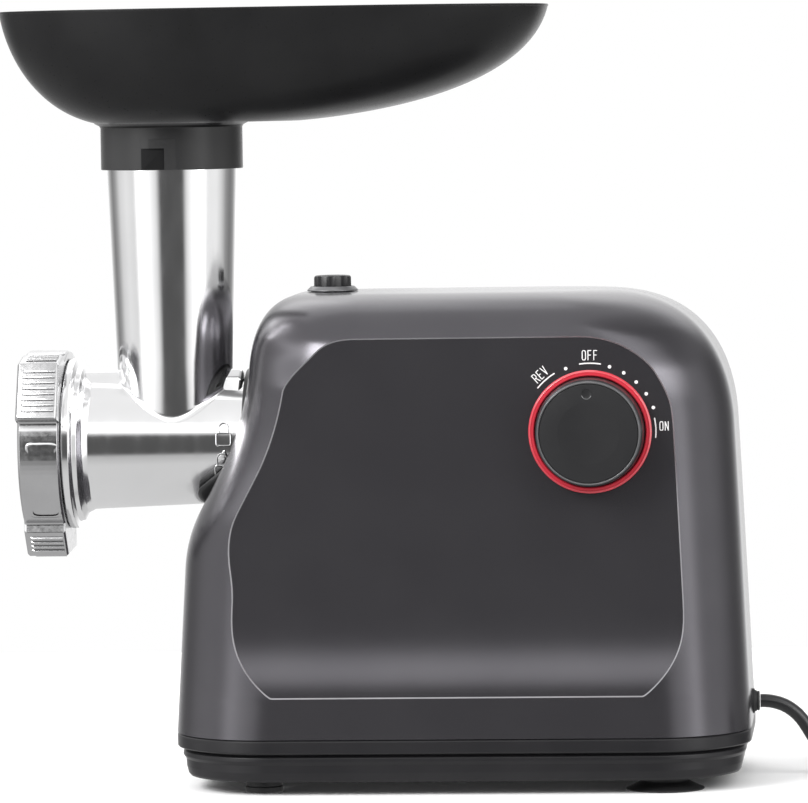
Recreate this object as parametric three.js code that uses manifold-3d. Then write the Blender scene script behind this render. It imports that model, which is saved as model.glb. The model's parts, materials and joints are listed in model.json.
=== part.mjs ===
// Electric meat grinder: metal grinding head and food tray on a motor housing.
// Millimetres, +Z up, the head points along -X, the control dial faces -Y.
import * as THREE from "three";
import { mergeVertices } from "three/addons/utils/BufferGeometryUtils.js";
import Module from "manifold-3d";

const wasm = await Module();
wasm.setup();

// ---------- driving dimensions ----------
const GAP = 0.3; // between pieces that touch
const AXIS_Z = 135.3; // height of the auger's axis
const ON_AXIS = [0, 0, AXIS_Z];
const HALF_WIDTH = 70; // housing, at its bottom edge
const WALL = 3; // housing wall
const HOUSING_BOTTOM = 22.5;
const HOUSING_TOP = 195;
const SIDE_DRAFT = 0.022; // how much each side leans in, per mm of height
const TOP_ROUND = 31; // height of the rounded top edge
const CORNER_Y = 40; // depth of the rounded vertical corners
const PANEL_DEPTH = 4.8; // side panel, below the housing's side
const PANEL_LOW = 38.5;
const PANEL_FLARE = 80; // below this height the panel curves out to the side

const TUBE_X = -81; // feed tube's axis
const TUBE_TOP = 262;
const RIM_Z = 308.5; // food tray's rim
const TRAY_FLOOR = 262.6;
const TRAY_HALF_WIDTH = 64;

const HEAD_FRONT = -136.7;
const HEAD_REAR = -22;
const BORE_R = 21.6;
const FLIGHT_R = 21.1;
const PLATE_SEAT = -131.7;

const DIAL_X = 88.4;
const DIAL_Z = 141.6;
const DIAL_FACE_Y = -77;
const BUTTON_X = -17.2;
const GLAND_Z = 29.5;
const CORD_D = 5.4;

// The origin is the middle of the whole object's box, which the dial makes deeper on one side.
const SHIFT_Y = (-DIAL_FACE_Y - HALF_WIDTH) / 2;

// ---------- materials ----------
const material = (color, roughness, metalness) =>
  new THREE.MeshStandardMaterial({ color, roughness, metalness });
const SHELL_GREY = material(0x3d3b3f, 0.38, 0.3);
const BASE_GREY = material(0x2c2b2e, 0.45, 0.1);
const TRAY_BLACK = material(0x1c1c1d, 0.35, 0);
const BLACK = material(0x202022, 0.5, 0);
const RED = material(0xc4283a, 0.25, 0);
const ALUMINIUM = material(0xd2d2d2, 0.25, 1);
const STEEL = material(0xa9abad, 0.35, 1);
const COPPER = material(0xb5713f, 0.4, 1);
const NYLON = material(0xe4e0d2, 0.5, 0);
const RUBBER = material(0x19191a, 0.8, 0);
const BOARD_GREEN = material(0x27593a, 0.6, 0);
const BRASS = material(0xbf9a4b, 0.35, 1);

// ---------- solids ----------
const product = new THREE.Group();
product.position.y = SHIFT_Y;

function solidOf(geometry) {
  geometry.deleteAttribute("normal");
  geometry.deleteAttribute("uv");
  const merged = mergeVertices(geometry, 1e-3);
  const index = merged.index.array;
  const place = merged.attributes.position.array;
  const triangles = [];
  for (let i = 0; i < index.length; i += 3) {
    const [a, b, c] = [index[i], index[i + 1], index[i + 2]];
    if (a !== b && b !== c && c !== a) triangles.push([a, b, c]);
  }
  const corner = (i) => new THREE.Vector3().fromArray(place, 3 * i);
  let volume = 0;
  for (const [a, b, c] of triangles) volume += corner(a).dot(corner(b).cross(corner(c)));
  const facing = triangles.map(([a, b, c]) => (volume < 0 ? [a, c, b] : [a, b, c]));
  const mesh = new wasm.Mesh({
    numProp: 3,
    vertProperties: new Float32Array(place),
    triVerts: new Uint32Array(facing.flat()),
  });
  return new wasm.Manifold(mesh);
}

function add(name, solid, look, parent = product) {
  const { vertProperties, triVerts } = solid.getMesh();
  const geometry = new THREE.BufferGeometry();
  geometry.setAttribute("position", new THREE.BufferAttribute(new Float32Array(vertProperties), 3));
  geometry.setIndex(new THREE.BufferAttribute(new Uint32Array(triVerts), 1));
  geometry.computeVertexNormals();
  const mesh = new THREE.Mesh(geometry, look);
  mesh.name = name;
  parent.add(mesh);
}

const joined = (first, ...others) => others.reduce((sum, next) => sum.add(next), first);
const without = (first, ...others) => others.reduce((rest, next) => rest.subtract(next), first);

// Turned pieces: profile points are [along the axis, radius], and the axis may be X, Y or Z.
const LIE = { x: (g) => g.rotateZ(-Math.PI / 2), y: (g) => g, z: (g) => g.rotateX(Math.PI / 2) };

function turned(axis, profile, at = [0, 0, 0], sides = 32) {
  const points = profile.map(([along, radius]) => new THREE.Vector2(radius, along));
  const open = points[0].x > 0;
  if (open) points.push(points[0].clone());
  return solidOf(LIE[axis](new THREE.LatheGeometry(points, sides)).translate(...at));
}

const rod = (axis, radius, low, high, at, sides = 24) =>
  turned(axis, [[low, 0], [low, radius], [high, radius], [high, 0]], at, sides);

const ring = (axis, inner, outer, low, high, at, sides = 32) =>
  turned(axis, [[low, inner], [low, outer], [high, outer], [high, inner]], at, sides);

const block = (x0, x1, y0, y1, z0, z1) =>
  solidOf(
    new THREE.BoxGeometry(x1 - x0, y1 - y0, z1 - z0)
      .translate((x0 + x1) / 2, (y0 + y1) / 2, (z0 + z1) / 2),
  );

// A closed skin over rings of equally many points, capped flat at both ends.
function loft(rings) {
  const count = rings[0].length;
  const place = rings.flat().flatMap((p) => [p.x, p.y, p.z]);
  const index = [];
  for (let r = 0; r + 1 < rings.length; r++) {
    for (let i = 0; i < count; i++) {
      const [a, b] = [r * count + i, r * count + ((i + 1) % count)];
      index.push(a, b, b + count, a, b + count, a + count);
    }
  }
  const last = (rings.length - 1) * count;
  for (let i = 1; i + 1 < count; i++) {
    index.push(0, i + 1, i, last, last + i, last + i + 1);
  }
  const geometry = new THREE.BufferGeometry();
  geometry.setAttribute("position", new THREE.Float32BufferAttribute(place, 3));
  geometry.setIndex(index);
  return solidOf(geometry);
}

// A flat outline in the Y-Z plane, extruded along X.
function extrudedAlongX(outline, low, high) {
  const shape = new THREE.Shape(outline.map(([y, z]) => new THREE.Vector2(y, z)));
  const geometry = new THREE.ExtrudeGeometry(shape, { depth: high - low, bevelEnabled: false });
  // shape x, y and depth become Y, Z and X
  geometry.applyMatrix4(new THREE.Matrix4().set(0, 0, 1, low, 1, 0, 0, 0, 0, 1, 0, 0, 0, 0, 0, 1));
  return solidOf(geometry);
}

const smooth = (t) => t * t * (3 - 2 * t);
const clamp = THREE.MathUtils.clamp;

// A value that passes smoothly through [height, value] stops.
function through(stops, z) {
  if (z <= stops[0][0]) return stops[0][1];
  for (let i = 1; i < stops.length; i++) {
    const [[z0, a], [z1, b]] = [stops[i - 1], stops[i]];
    if (z <= z1) return a + (b - a) * smooth((z - z0) / (z1 - z0));
  }
  return stops[stops.length - 1][1];
}

// The x of a rising side outline at height z.
function outlineX(path) {
  const points = path.getPoints(40);
  return (z) => {
    const k = clamp(points.findIndex((p) => p.y >= z), 1, points.length - 1);
    const upper = z > points[points.length - 1].y ? points.length - 1 : k;
    const [p, q] = [points[upper - 1], points[upper]];
    const share = q.y === p.y ? 1 : clamp((z - p.y) / (q.y - p.y), 0, 1);
    return p.x + (q.x - p.x) * share;
  };
}

// ---------- housing ----------
const frontX = outlineX(
  new THREE.Path()
    .moveTo(-78.8, HOUSING_BOTTOM)
    .lineTo(-74.7, 88)
    .quadraticCurveTo(-73.8, 99.5, -68.5, 109.6)
    .lineTo(-60, 125.6)
    .bezierCurveTo(-54, 137, -49.5, 152, -48.2, 166)
    .bezierCurveTo(-46.8, 184, -40, HOUSING_TOP, -25, HOUSING_TOP),
);
const rearX = outlineX(
  new THREE.Path()
    .moveTo(148.8, HOUSING_BOTTOM)
    .bezierCurveTo(147, 60, 145.4, 105, 143.6, 141)
    .bezierCurveTo(142.6, 172, 127, HOUSING_TOP, 91, HOUSING_TOP),
);
const FRONT_CORNER = [[22.5, 40], [76, 43], [112, 33], [158, 33], [172, 46], [180, 42], [195, 32]];
const REAR_CORNER = [[22.5, 40], [76, 43], [150, 43], [172, 50], [182, 46], [195, 34]];

const sideY = (z) => HALF_WIDTH - SIDE_DRAFT * (z - HOUSING_BOTTOM);

// The flare leaves the panel gently and still slants where it meets the side.
const flare = (t) => t * t * (2.1 - 1.1 * t);

function panelY(z) {
  const out = clamp((PANEL_FLARE - z) / (PANEL_FLARE - PANEL_LOW), 0, 1);
  return sideY(z) - PANEL_DEPTH * (1 - flare(out));
}

// One level of the housing: a rounded rectangle whose long sides are cut back to the side panels.
function housingRing(z, inset = 0, cornerSteps = 4, height = z) {
  const shoulder = clamp((z - (HOUSING_TOP - TOP_ROUND)) / TOP_ROUND, 0, 1);
  const full = sideY(z);
  const half = full - CORNER_Y * (1 - Math.sqrt(1 - shoulder ** 2)) - inset;
  const depth = (CORNER_Y - inset) * (half / (full - inset));
  const cut = Math.min(panelY(z) - inset, half);
  const lean = Math.asin(clamp((cut - (half - depth)) / depth, 0, 1));
  const front = frontX(z) + inset;
  const rear = rearX(z) - inset;
  const quarter = [];
  for (let i = 0; i <= cornerSteps; i++) {
    const a = (lean * i) / cornerSteps;
    quarter.push([1 - Math.cos(a), half - depth + depth * Math.sin(a)]);
  }
  const frontCorner = through(FRONT_CORNER, z) - inset;
  const rearCorner = through(REAR_CORNER, z) - inset;
  const points = [
    ...quarter.map(([x, y]) => [front + frontCorner * x, -y]),
    ...quarter.map(([x, y]) => [rear - rearCorner * x, -y]).reverse(),
    ...quarter.map(([x, y]) => [rear - rearCorner * x, y]),
    ...quarter.map(([x, y]) => [front + frontCorner * x, y]).reverse(),
  ];
  return points.map(([x, y]) => new THREE.Vector3(x, y, height));
}

const HOUSING_LEVELS = [
  HOUSING_BOTTOM, PANEL_LOW, 46, 54, 62, 70, PANEL_FLARE, 96, 106, 116, 128, 142, 155, 165,
  173, 178.5, 184, 189, 192.5, 194.3, HOUSING_TOP,
];
const housingOutside = loft(HOUSING_LEVELS.map((z) => housingRing(z)));

// The inside keeps the wall's thickness below the top as well as beside it.
const INSIDE_LEVELS = [
  -1, 40, 60, PANEL_FLARE, 104, 118, 142, 160, 172, 180, 186, 190, HOUSING_TOP - WALL,
];
const housingInside = loft(
  INSIDE_LEVELS.map((z) => {
    const lift = WALL * clamp((z - 140) / (HOUSING_TOP - WALL - 140), 0, 1) ** 2;
    return housingRing(Math.max(z + lift, HOUSING_BOTTOM), WALL, 4, z);
  }),
);

const MOUTH_R = 30.5;
const BUTTON_HOLE_R = 8.3;
const housing = without(
  housingOutside,
  housingInside,
  rod("x", MOUTH_R, -95, -36, ON_AXIS, 40),
  rod("z", BUTTON_HOLE_R, -10, 10, [BUTTON_X, 0, HOUSING_TOP], 24),
  rod("x", 5.3, 140, 152, [0, 0, GLAND_Z], 20),
  rod("y", 6, -75, -50, [DIAL_X, 0, DIAL_Z], 20),
);
const FAR = 200;
add("housing_left_shell", housing.intersect(block(-FAR, FAR, -FAR, -GAP / 2, 0, 2 * FAR)), SHELL_GREY);
add("housing_right_shell", housing.intersect(block(-FAR, FAR, GAP / 2, FAR, 0, 2 * FAR)), SHELL_GREY);

// ---------- base ----------
const BASE_LEVELS = [[5.5, 7], [6.6, 4.8], [8.6, 3.9], [12.4, 3.4], [15.6, 2.9], [17, 0], [22.2, 0]];
const BASE_FLOOR = 8.5;
const baseOutside = loft(
  BASE_LEVELS.map(([z, inset]) => housingRing(HOUSING_BOTTOM, inset, 6, z)),
);
const baseInside = loft(
  [[BASE_FLOOR, 9], [14, 6.5], [30, 6.5]].map(([z, inset]) => housingRing(HOUSING_BOTTOM, inset, 6, z)),
);
const SCREW_PLACES = [[-40, -36], [-40, 36], [112, -36], [112, 36]];
add(
  "base_tray",
  without(baseOutside, baseInside, ...SCREW_PLACES.map(([x, y]) => rod("z", 4, 0, 12, [x, y, 0], 16))),
  BASE_GREY,
);
SCREW_PLACES.forEach(([x, y], i) => {
  const profile = [[6, 0], [6, 3.5], [8.2, 3.5], [9.4, 2], [24, 2], [25.5, 0]];
  add(`base_screw_${i + 1}`, turned("z", profile, [x, y, 0], 12), STEEL);
});

const FOOT_TOP = 5.5 - GAP;
for (const [side, y] of [["left", -48], ["right", 48]]) {
  const pad = [[0, 0], [0, 6.6], [0.8, 7.5], [FOOT_TOP, 7.5], [FOOT_TOP, 0]];
  add(`front_foot_${side}`, turned("z", pad, [-42.8, y, 0], 24), RUBBER);
  const cup = [
    [2.2, 0], [1.6, 9], [0, 13.6], [0, 15.5], [1.8, 15.5], [4, 9.5], [FOOT_TOP, 9], [FOOT_TOP, 0],
  ];
  add(`rear_foot_${side}`, turned("z", cup, [115, y - Math.sign(y) * 2, 0], 24), RUBBER);
}

// ---------- grinding head ----------
const headProfile = [
  [HEAD_FRONT, 33], [-123.4, 33], [-123.4, 34.2], [-120.4, 34.2], [-119.4, 31.2], [-117.6, 30.6],
  [-116, 27.6], [-114, 26.6], [-70, 24.9], [-50, 24.3], [HEAD_REAR, 24.2],
];
const barrel = (grow) => {
  const profile = headProfile.map(([x, radius]) => [x, radius + grow]);
  return turned("x", [[HEAD_FRONT, 0], ...profile, [HEAD_REAR, 0]], ON_AXIS, 40);
};
// A raised rib runs along the top of the barrel, on both sides of the feed tube.
const SPINE_FRONT = -117;
const SPINE_REAR = -53.3;
const SPINE_HALF = 7;
const SPINE_TOP = AXIS_Z + 29.4;
const SPINE_LOW = AXIS_Z + 20; // inside the barrel's wall
const spine = (grow) => {
  const half = SPINE_HALF + grow;
  return block(SPINE_FRONT, SPINE_REAR + grow, -half, half, SPINE_LOW, SPINE_TOP + grow);
};
const tubeOutside = [
  [AXIS_Z, 0], [AXIS_Z, 22.6], [163, 23.2], [245, 26.05], [TUBE_TOP, 26.4], [TUBE_TOP, 0],
];
const tubeBore = [
  [AXIS_Z + 4, 0], [AXIS_Z + 4, 19], [163, 20], [TUBE_TOP + 5, 23.4], [TUBE_TOP + 5, 0],
];
const feedBore = turned("z", tubeBore, [TUBE_X, 0, 0], 32);
add(
  "head_casting",
  without(
    joined(barrel(0), spine(0)),
    rod("x", BORE_R, HEAD_FRONT - 5, -30, ON_AXIS, 36),
    rod("x", 27.2, HEAD_FRONT - 5, PLATE_SEAT, ON_AXIS, 36),
    rod("x", 7.3, -40, HEAD_REAR + 5, ON_AXIS, 20),
    feedBore,
  ),
  ALUMINIUM,
);
// The feed tube is cast in one with the barrel; a hairline keeps the two solids apart.
add(
  "feed_tube",
  without(turned("z", tubeOutside, [TUBE_X, 0, 0], 36), feedBore, barrel(GAP), spine(GAP)),
  ALUMINIUM,
);

// Outside shape of the ring nut: a round ring with three grips, each with a short and a long face.
const NUT_R = 37.5;
const NUT_TIP_ANGLE = 47; // of the first grip, from the -Y side towards the top
const GRIP = [[18, NUT_R], [16, 41], [0, 46.3], [-31, 43.9], [-30, NUT_R]];
function nutOutline() {
  const points = [];
  for (let k = 0; k < 3; k++) {
    const tip = NUT_TIP_ANGLE - 120 * k;
    for (const [turn, radius] of GRIP) points.push([tip + turn, radius]);
    for (let a = -42; a > -102; a -= 12) points.push([tip + a, NUT_R]);
  }
  return points.map(([angle, radius]) => {
    const a = THREE.MathUtils.degToRad(angle);
    return [-radius * Math.cos(a), AXIS_Z + radius * Math.sin(a)];
  });
}
const NUT_FRONT = -140.3;
const NUT_BACK = -123.7;
add(
  "ring_nut",
  without(
    extrudedAlongX(nutOutline(), NUT_FRONT, NUT_BACK),
    rod("x", 33.4, -137.3, NUT_BACK + 1, ON_AXIS, 36),
    rod("x", 24.5, NUT_FRONT - 1, NUT_BACK, ON_AXIS, 36),
  ),
  ALUMINIUM,
);

// The plate's holes stand on three circles.
const PLATE_HOLES = [[9.8, 6], [16.3, 10], [22.6, 14]];
const plateHoles = PLATE_HOLES.flatMap(([radius, count]) =>
  Array.from({ length: count }, (_, i) => {
    const a = (2 * Math.PI * i) / count;
    return rod("x", 2.4, -140, -128, [0, radius * Math.cos(a), AXIS_Z + radius * Math.sin(a)], 6);
  }),
);
add(
  "grinding_plate",
  without(
    rod("x", 26.8, -137, -132, ON_AXIS, 36),
    rod("x", 4.4, -140, -128, ON_AXIS, 16),
    ...plateHoles,
  ),
  STEEL,
);

const squareBar = (side, low, high) =>
  block(low, high, -side / 2, side / 2, AXIS_Z - side / 2, AXIS_Z + side / 2);

const blade = [[-3.2, 5], [3.6, 5], [2.2, 20.8], [-3.2, 20.8]];
const blades = [0, 1, 2, 3].map((k) => {
  const turn = (k * Math.PI) / 2;
  const outline = blade.map(([a, r]) => [
    a * Math.cos(turn) - r * Math.sin(turn),
    AXIS_Z + a * Math.sin(turn) + r * Math.cos(turn),
  ]);
  return extrudedAlongX(outline, -131.6, -128.4);
});
add(
  "cutting_knife",
  without(joined(rod("x", 8.4, -131.6, -127.8, ON_AXIS, 20), ...blades), squareBar(8.6, -140, -120)),
  STEEL,
);

// The auger's flight is a ribbon that winds backwards along the shaft.
function flight(turns, low, high, radius, thickness) {
  const steps = turns * 16;
  const rings = [];
  for (let i = 0; i <= steps; i++) {
    const share = i / steps;
    const a = 2 * Math.PI * turns * share;
    const x = low + (high - low - 2 * thickness) * share + thickness;
    const spoke = (r, dx) => new THREE.Vector3(x + dx, r * Math.cos(a), AXIS_Z + r * Math.sin(a));
    const [foot, tip] = [thickness, thickness * 0.55];
    rings.push([spoke(5, -foot), spoke(radius, -tip), spoke(radius, tip), spoke(5, foot)]);
  }
  return loft(rings);
}
const HEX_R = 5.6;
add(
  "auger",
  joined(
    rod("x", 8.5, -127.4, -33, ON_AXIS, 20),
    flight(4, -127.2, -34, FLIGHT_R, 2.6),
    rod("x", 4, -137.4, -125, ON_AXIS, 14),
    squareBar(8, -131.9, -125),
    rod("x", 6.8, -34, -20, ON_AXIS, 18),
    rod("x", HEX_R, -21, -6.8, ON_AXIS, 6),
  ),
  ALUMINIUM,
);
add("auger_washer", ring("x", 7.2, 12, -32.6, -30.4, ON_AXIS, 20), NYLON);

// ---------- socket, lock lever and release button ----------
const SOCKET_STEP = -47;
const SOCKET_REAR = -10;
const POST_TOP = 181;
const frontSkin = loft([100, 112, 125, 140, 155, 168, 180].map((z) => housingRing(z, 1.2)));
const socketTube = without(
  rod("x", MOUTH_R - GAP, -90, SOCKET_REAR, ON_AXIS, 40),
  rod("x", 29.6, -95, SOCKET_STEP, ON_AXIS, 40),
  rod("x", 24.8, -60, HEAD_REAR + GAP, ON_AXIS, 36),
  rod("x", 9, -30, -16, ON_AXIS, 20),
  rod("x", 11.2, -16.5, 0, ON_AXIS, 20),
);
const post = without(
  rod("z", 6, AXIS_Z + 27, POST_TOP, [BUTTON_X, 0, 0], 20),
  rod("z", 3, AXIS_Z + 29, POST_TOP + 5, [BUTTON_X, 0, 0], 12),
);
add("head_socket", joined(socketTube.intersect(frontSkin), post), BLACK);

// The lever is a paddle cut from a tube that fits round the head, on a ring that turns in the socket.
const [LOCK_INNER, LOCK_OUTER] = [25.7, 29.2];
const paddleShape = new THREE.Shape();
const PADDLE_TIP = [-66.6, -20.2];
const PADDLE_ROOT = [-50, 2];
const PADDLE_R = 4.3;
const paddleTurn = Math.atan2(PADDLE_ROOT[1] - PADDLE_TIP[1], PADDLE_ROOT[0] - PADDLE_TIP[0]);
const QUARTER = Math.PI / 2;
paddleShape.absarc(...PADDLE_TIP, PADDLE_R, paddleTurn + QUARTER, paddleTurn + 3 * QUARTER, false);
paddleShape.absarc(...PADDLE_ROOT, PADDLE_R, paddleTurn - QUARTER, paddleTurn + QUARTER, false);
const paddleSlab = solidOf(
  new THREE.ExtrudeGeometry(paddleShape, { depth: 40, bevelEnabled: false, curveSegments: 6 })
    .rotateX(Math.PI / 2)
    .translate(0, 0, AXIS_Z),
);
const lockTube = ring("x", LOCK_INNER, LOCK_OUTER, -80, -47.4, ON_AXIS, 40);
add(
  "lock_ring",
  joined(
    ring("x", LOCK_INNER, LOCK_OUTER, -52, -47.4, ON_AXIS, 40),
    lockTube.intersect(paddleSlab).intersect(block(-80, -47.5, -40, 0, 0, 2 * AXIS_Z)),
  ),
  BLACK,
);

const CAP_LOW = HOUSING_TOP + 1.6;
const CAP_TOP = HOUSING_TOP + 6.5;
const STEM_LOW = AXIS_Z + 34.2;
add("button_bezel", ring("z", 7.9, 10.2, HOUSING_TOP + GAP, HOUSING_TOP + 2.2, [BUTTON_X, 0, 0]), BLACK);
add(
  "release_button",
  turned(
    "z",
    [
      [STEM_LOW, 0], [STEM_LOW, 2.5], [CAP_LOW, 2.5], [CAP_LOW, 7.5],
      [CAP_TOP - 0.9, 7.5], [CAP_TOP, 6.6], [CAP_TOP, 0],
    ],
    [BUTTON_X, 0, 0],
    24,
  ),
  BLACK,
);

class Helix extends THREE.Curve {
  constructor(radius, low, high, turns, x) {
    super();
    Object.assign(this, { radius, low, high, turns, x });
  }
  getPoint(t, target = new THREE.Vector3()) {
    const a = 2 * Math.PI * this.turns * t;
    const z = this.low + (this.high - this.low) * t;
    return target.set(this.x + this.radius * Math.cos(a), this.radius * Math.sin(a), z);
  }
}

// A round wire or cord along a curve.
function tube(curve, radius, steps, sides) {
  const section = new THREE.Shape();
  for (let i = 0; i < sides; i++) {
    const a = (2 * Math.PI * i) / sides;
    if (i === 0) section.moveTo(radius, 0);
    else section.lineTo(radius * Math.cos(a), radius * Math.sin(a));
  }
  section.closePath();
  return solidOf(new THREE.ExtrudeGeometry(section, { extrudePath: curve, steps, bevelEnabled: false }));
}
add("release_spring", tube(new Helix(4.6, POST_TOP + 1, CAP_LOW - 1, 4, BUTTON_X), 0.6, 48, 5), STEEL);

// ---------- dial ----------
const DIAL = [DIAL_X, 0, DIAL_Z];
const PANEL_AT_DIAL = -panelY(DIAL_Z);
add("dial_ring", ring("y", 22.1, 24, PANEL_AT_DIAL - 3, PANEL_AT_DIAL - GAP - 0.4, DIAL, 40), RED);
const dialProfile = [[DIAL_FACE_Y, 0], [DIAL_FACE_Y, 19.4], [-75.6, 20.2], [-64.6, 21.4], [-64.6, 0]];
add(
  "control_dial",
  without(
    turned("y", dialProfile, DIAL, 40),
    rod("y", 19.9, -73.9, -60, DIAL, 32).subtract(rod("y", 5.2, -75, -59, DIAL, 16)),
    rod("y", 3.3, -73, -60, DIAL, 14),
  ),
  BLACK,
);
add("switch_shaft", rod("y", 3, -72.7, -57.3, DIAL, 14), STEEL);
const switchBody = block(76, 101, -57, -42, 130, 153);
const switchBushing = ring("y", 3.3, 5, -59.5, -56.9, DIAL, 16);
add("rotary_switch", joined(switchBody, switchBushing), BLACK);

// ---------- gear train ----------
const ratioAngle = (from, to) => Math.atan2(to[1] - from[1], to[0] - from[0]);
const OUTPUT = [0, AXIS_Z];
const MOTOR = [0, 66];
const STAGES = [
  { module: 1, pinion: 10, wheel: 50, low: 30, high: 37 },
  { module: 1.25, pinion: 12, wheel: 48, low: 18, high: 26 },
  { module: 1.75, pinion: 14, wheel: 42, low: 4, high: 14 },
];
const spread = STAGES.map((s) => (s.module * (s.pinion + s.wheel)) / 2);
const FIRST_TURN = THREE.MathUtils.degToRad(130);
const AXLE_1 = [
  MOTOR[0] + spread[0] * Math.cos(FIRST_TURN),
  MOTOR[1] + spread[0] * Math.sin(FIRST_TURN),
];
const AXLE_2 = (() => {
  const [dy, dz] = [AXLE_1[0] - OUTPUT[0], AXLE_1[1] - OUTPUT[1]];
  const apart = Math.hypot(dy, dz);
  const along = (spread[2] ** 2 - spread[1] ** 2 + apart ** 2) / (2 * apart);
  const aside = Math.sqrt(spread[2] ** 2 - along ** 2);
  return [
    OUTPUT[0] + (along * dy - aside * dz) / apart,
    OUTPUT[1] + (along * dz + aside * dy) / apart,
  ];
})();

// Spur teeth with plenty of backlash; a tooth points at angle first.
function gear([y, z], stage, teeth, first, low = stage.low, high = stage.high) {
  const pitch = (2 * Math.PI) / teeth;
  const radius = (stage.module * teeth) / 2;
  const [tip, root] = [radius + 0.8 * stage.module, radius - 1.2 * stage.module];
  const tooth = [[-0.3, root], [-0.13, tip], [0.13, tip], [0.3, root]];
  const outline = [];
  for (let i = 0; i < teeth; i++) {
    for (const [share, r] of tooth) {
      const a = first + pitch * (i + share);
      outline.push([y + r * Math.cos(a), z + r * Math.sin(a)]);
    }
  }
  return extrudedAlongX(outline, low, high);
}
// The wheel has a gap where its pinion has a tooth.
const meshed = (from, to, teeth) => ratioAngle(to, from) + Math.PI / teeth;
const centres = [MOTOR, AXLE_1, AXLE_2, OUTPUT];
const pinionOf = (i) =>
  gear(centres[i], STAGES[i], STAGES[i].pinion, ratioAngle(centres[i], centres[i + 1]));
const wheelOf = (i) =>
  gear(centres[i + 1], STAGES[i], STAGES[i].wheel, meshed(centres[i], centres[i + 1], STAGES[i].wheel));

const at = ([y, z]) => [0, y, z];
const AXLE_R = 4;
const HUB_R = [5.9, 9.2];
for (const [i, axle] of [AXLE_1, AXLE_2].entries()) {
  const [wheel, pinion] = [STAGES[i], STAGES[i + 1]];
  const hub = rod("x", HUB_R[i], pinion.low, wheel.high, at(axle), 20);
  const body = joined(wheelOf(i), pinionOf(i + 1), hub);
  add(`gear_stage_${i + 1}`, without(body, rod("x", AXLE_R + 0.35, 0, 60, at(axle), 20)), NYLON);
  add(`gear_axle_${i + 1}`, rod("x", AXLE_R, -3.5, 43.5, at(axle), 16), STEEL);
}
add("output_gear", without(wheelOf(2), rod("x", 6.4, -5, 60, at(OUTPUT), 20)), STEEL);
add(
  "drive_socket",
  without(
    turned("x", [[-15.6, 0], [-15.6, 10], [-4.6, 10], [-4.6, 6], [38, 6], [38, 0]], at(OUTPUT), 20),
    rod("x", HEX_R + 0.5, -20, -6.2, at(OUTPUT), 6),
  ),
  STEEL,
);
add("motor_pinion", without(pinionOf(0), rod("x", 3, 20, 60, at(MOTOR), 14)), STEEL);

// Both gearbox plates have the outline that wraps round the four shafts.
const plateOutline = [
  [-26, 46], [26, 46], [40, 70], [40, 140], [22, 183], [-22, 183], [-40, 140], [-40, 70],
];
const axleHoles = [AXLE_1, AXLE_2].map((axle) => rod("x", AXLE_R + GAP, -20, 60, at(axle), 16));
const plate = (low, high, ...holes) =>
  without(extrudedAlongX(plateOutline, low, high), ...axleHoles, ...holes);
add("gearbox_front_plate", plate(-4, 0, rod("x", 6.6, -20, 20, at(OUTPUT), 20)), ALUMINIUM);
add(
  "gearbox_rear_plate",
  plate(40, 44, rod("x", 6, 30, 60, at(MOTOR), 16)),
  ALUMINIUM,
);
for (const [i, [y, z]] of [[-20, 52], [20, 52], [-16, 176], [16, 176]].entries()) {
  add(`gearbox_spacer_${i + 1}`, rod("x", 3.5, GAP, 40 - GAP, [0, y, z], 12), STEEL);
}

// ---------- motor ----------
add("motor_shaft", rod("x", 2.7, 29, 134, at(MOTOR), 14), STEEL);
const fanBlades = Array.from({ length: 8 }, (_, k) => {
  const blade = block(49.5, 57, -0.9, 0.9, 8, 29);
  return blade.rotate([45 * k, 0, 0]).translate(at(MOTOR));
});
add(
  "cooling_fan",
  without(
    joined(rod("x", 29, 48, 49.8, at(MOTOR), 28), rod("x", 7, 48, 57, at(MOTOR), 18), ...fanBlades),
    rod("x", 3.1, 40, 60, at(MOTOR), 14),
  ),
  NYLON,
);
add("motor_armature", ring("x", 3.1, 21.5, 62, 100, at(MOTOR), 28), STEEL);
add("commutator", ring("x", 3.1, 12, 106, 120, at(MOTOR), 24), COPPER);
const statorOutline = (r) => [[-r, -r * 0.62], [-r * 0.62, -r], [r * 0.62, -r], [r, -r * 0.62]]
  .concat([[r, r * 0.62], [r * 0.62, r], [-r * 0.62, r], [-r, r * 0.62]])
  .map(([y, z]) => [MOTOR[0] + y, MOTOR[1] + z]);
const statorCore = extrudedAlongX(statorOutline(38), 61, 101);
add("motor_stator", without(statorCore, rod("x", 22.5, 50, 110, at(MOTOR), 32)), STEEL);
add(
  "motor_bracket",
  without(
    joined(extrudedAlongX(statorOutline(29), 128, 132), rod("x", 9, 126, 134.5, at(MOTOR), 20)),
    rod("x", 3.1, 120, 140, at(MOTOR), 14),
  ),
  ALUMINIUM,
);
for (const [side, sign] of [["left", -1], ["right", 1]]) {
  const [near, far] = [12.6 * sign, 32 * sign].sort((a, b) => a - b);
  add(`brush_holder_${side}`, block(108.5, 117.5, near, far, MOTOR[1] - 4, MOTOR[1] + 4), BRASS);
}
add("control_board", block(56, 118, -36, 12, 117, 118.6), BOARD_GREEN);

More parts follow.
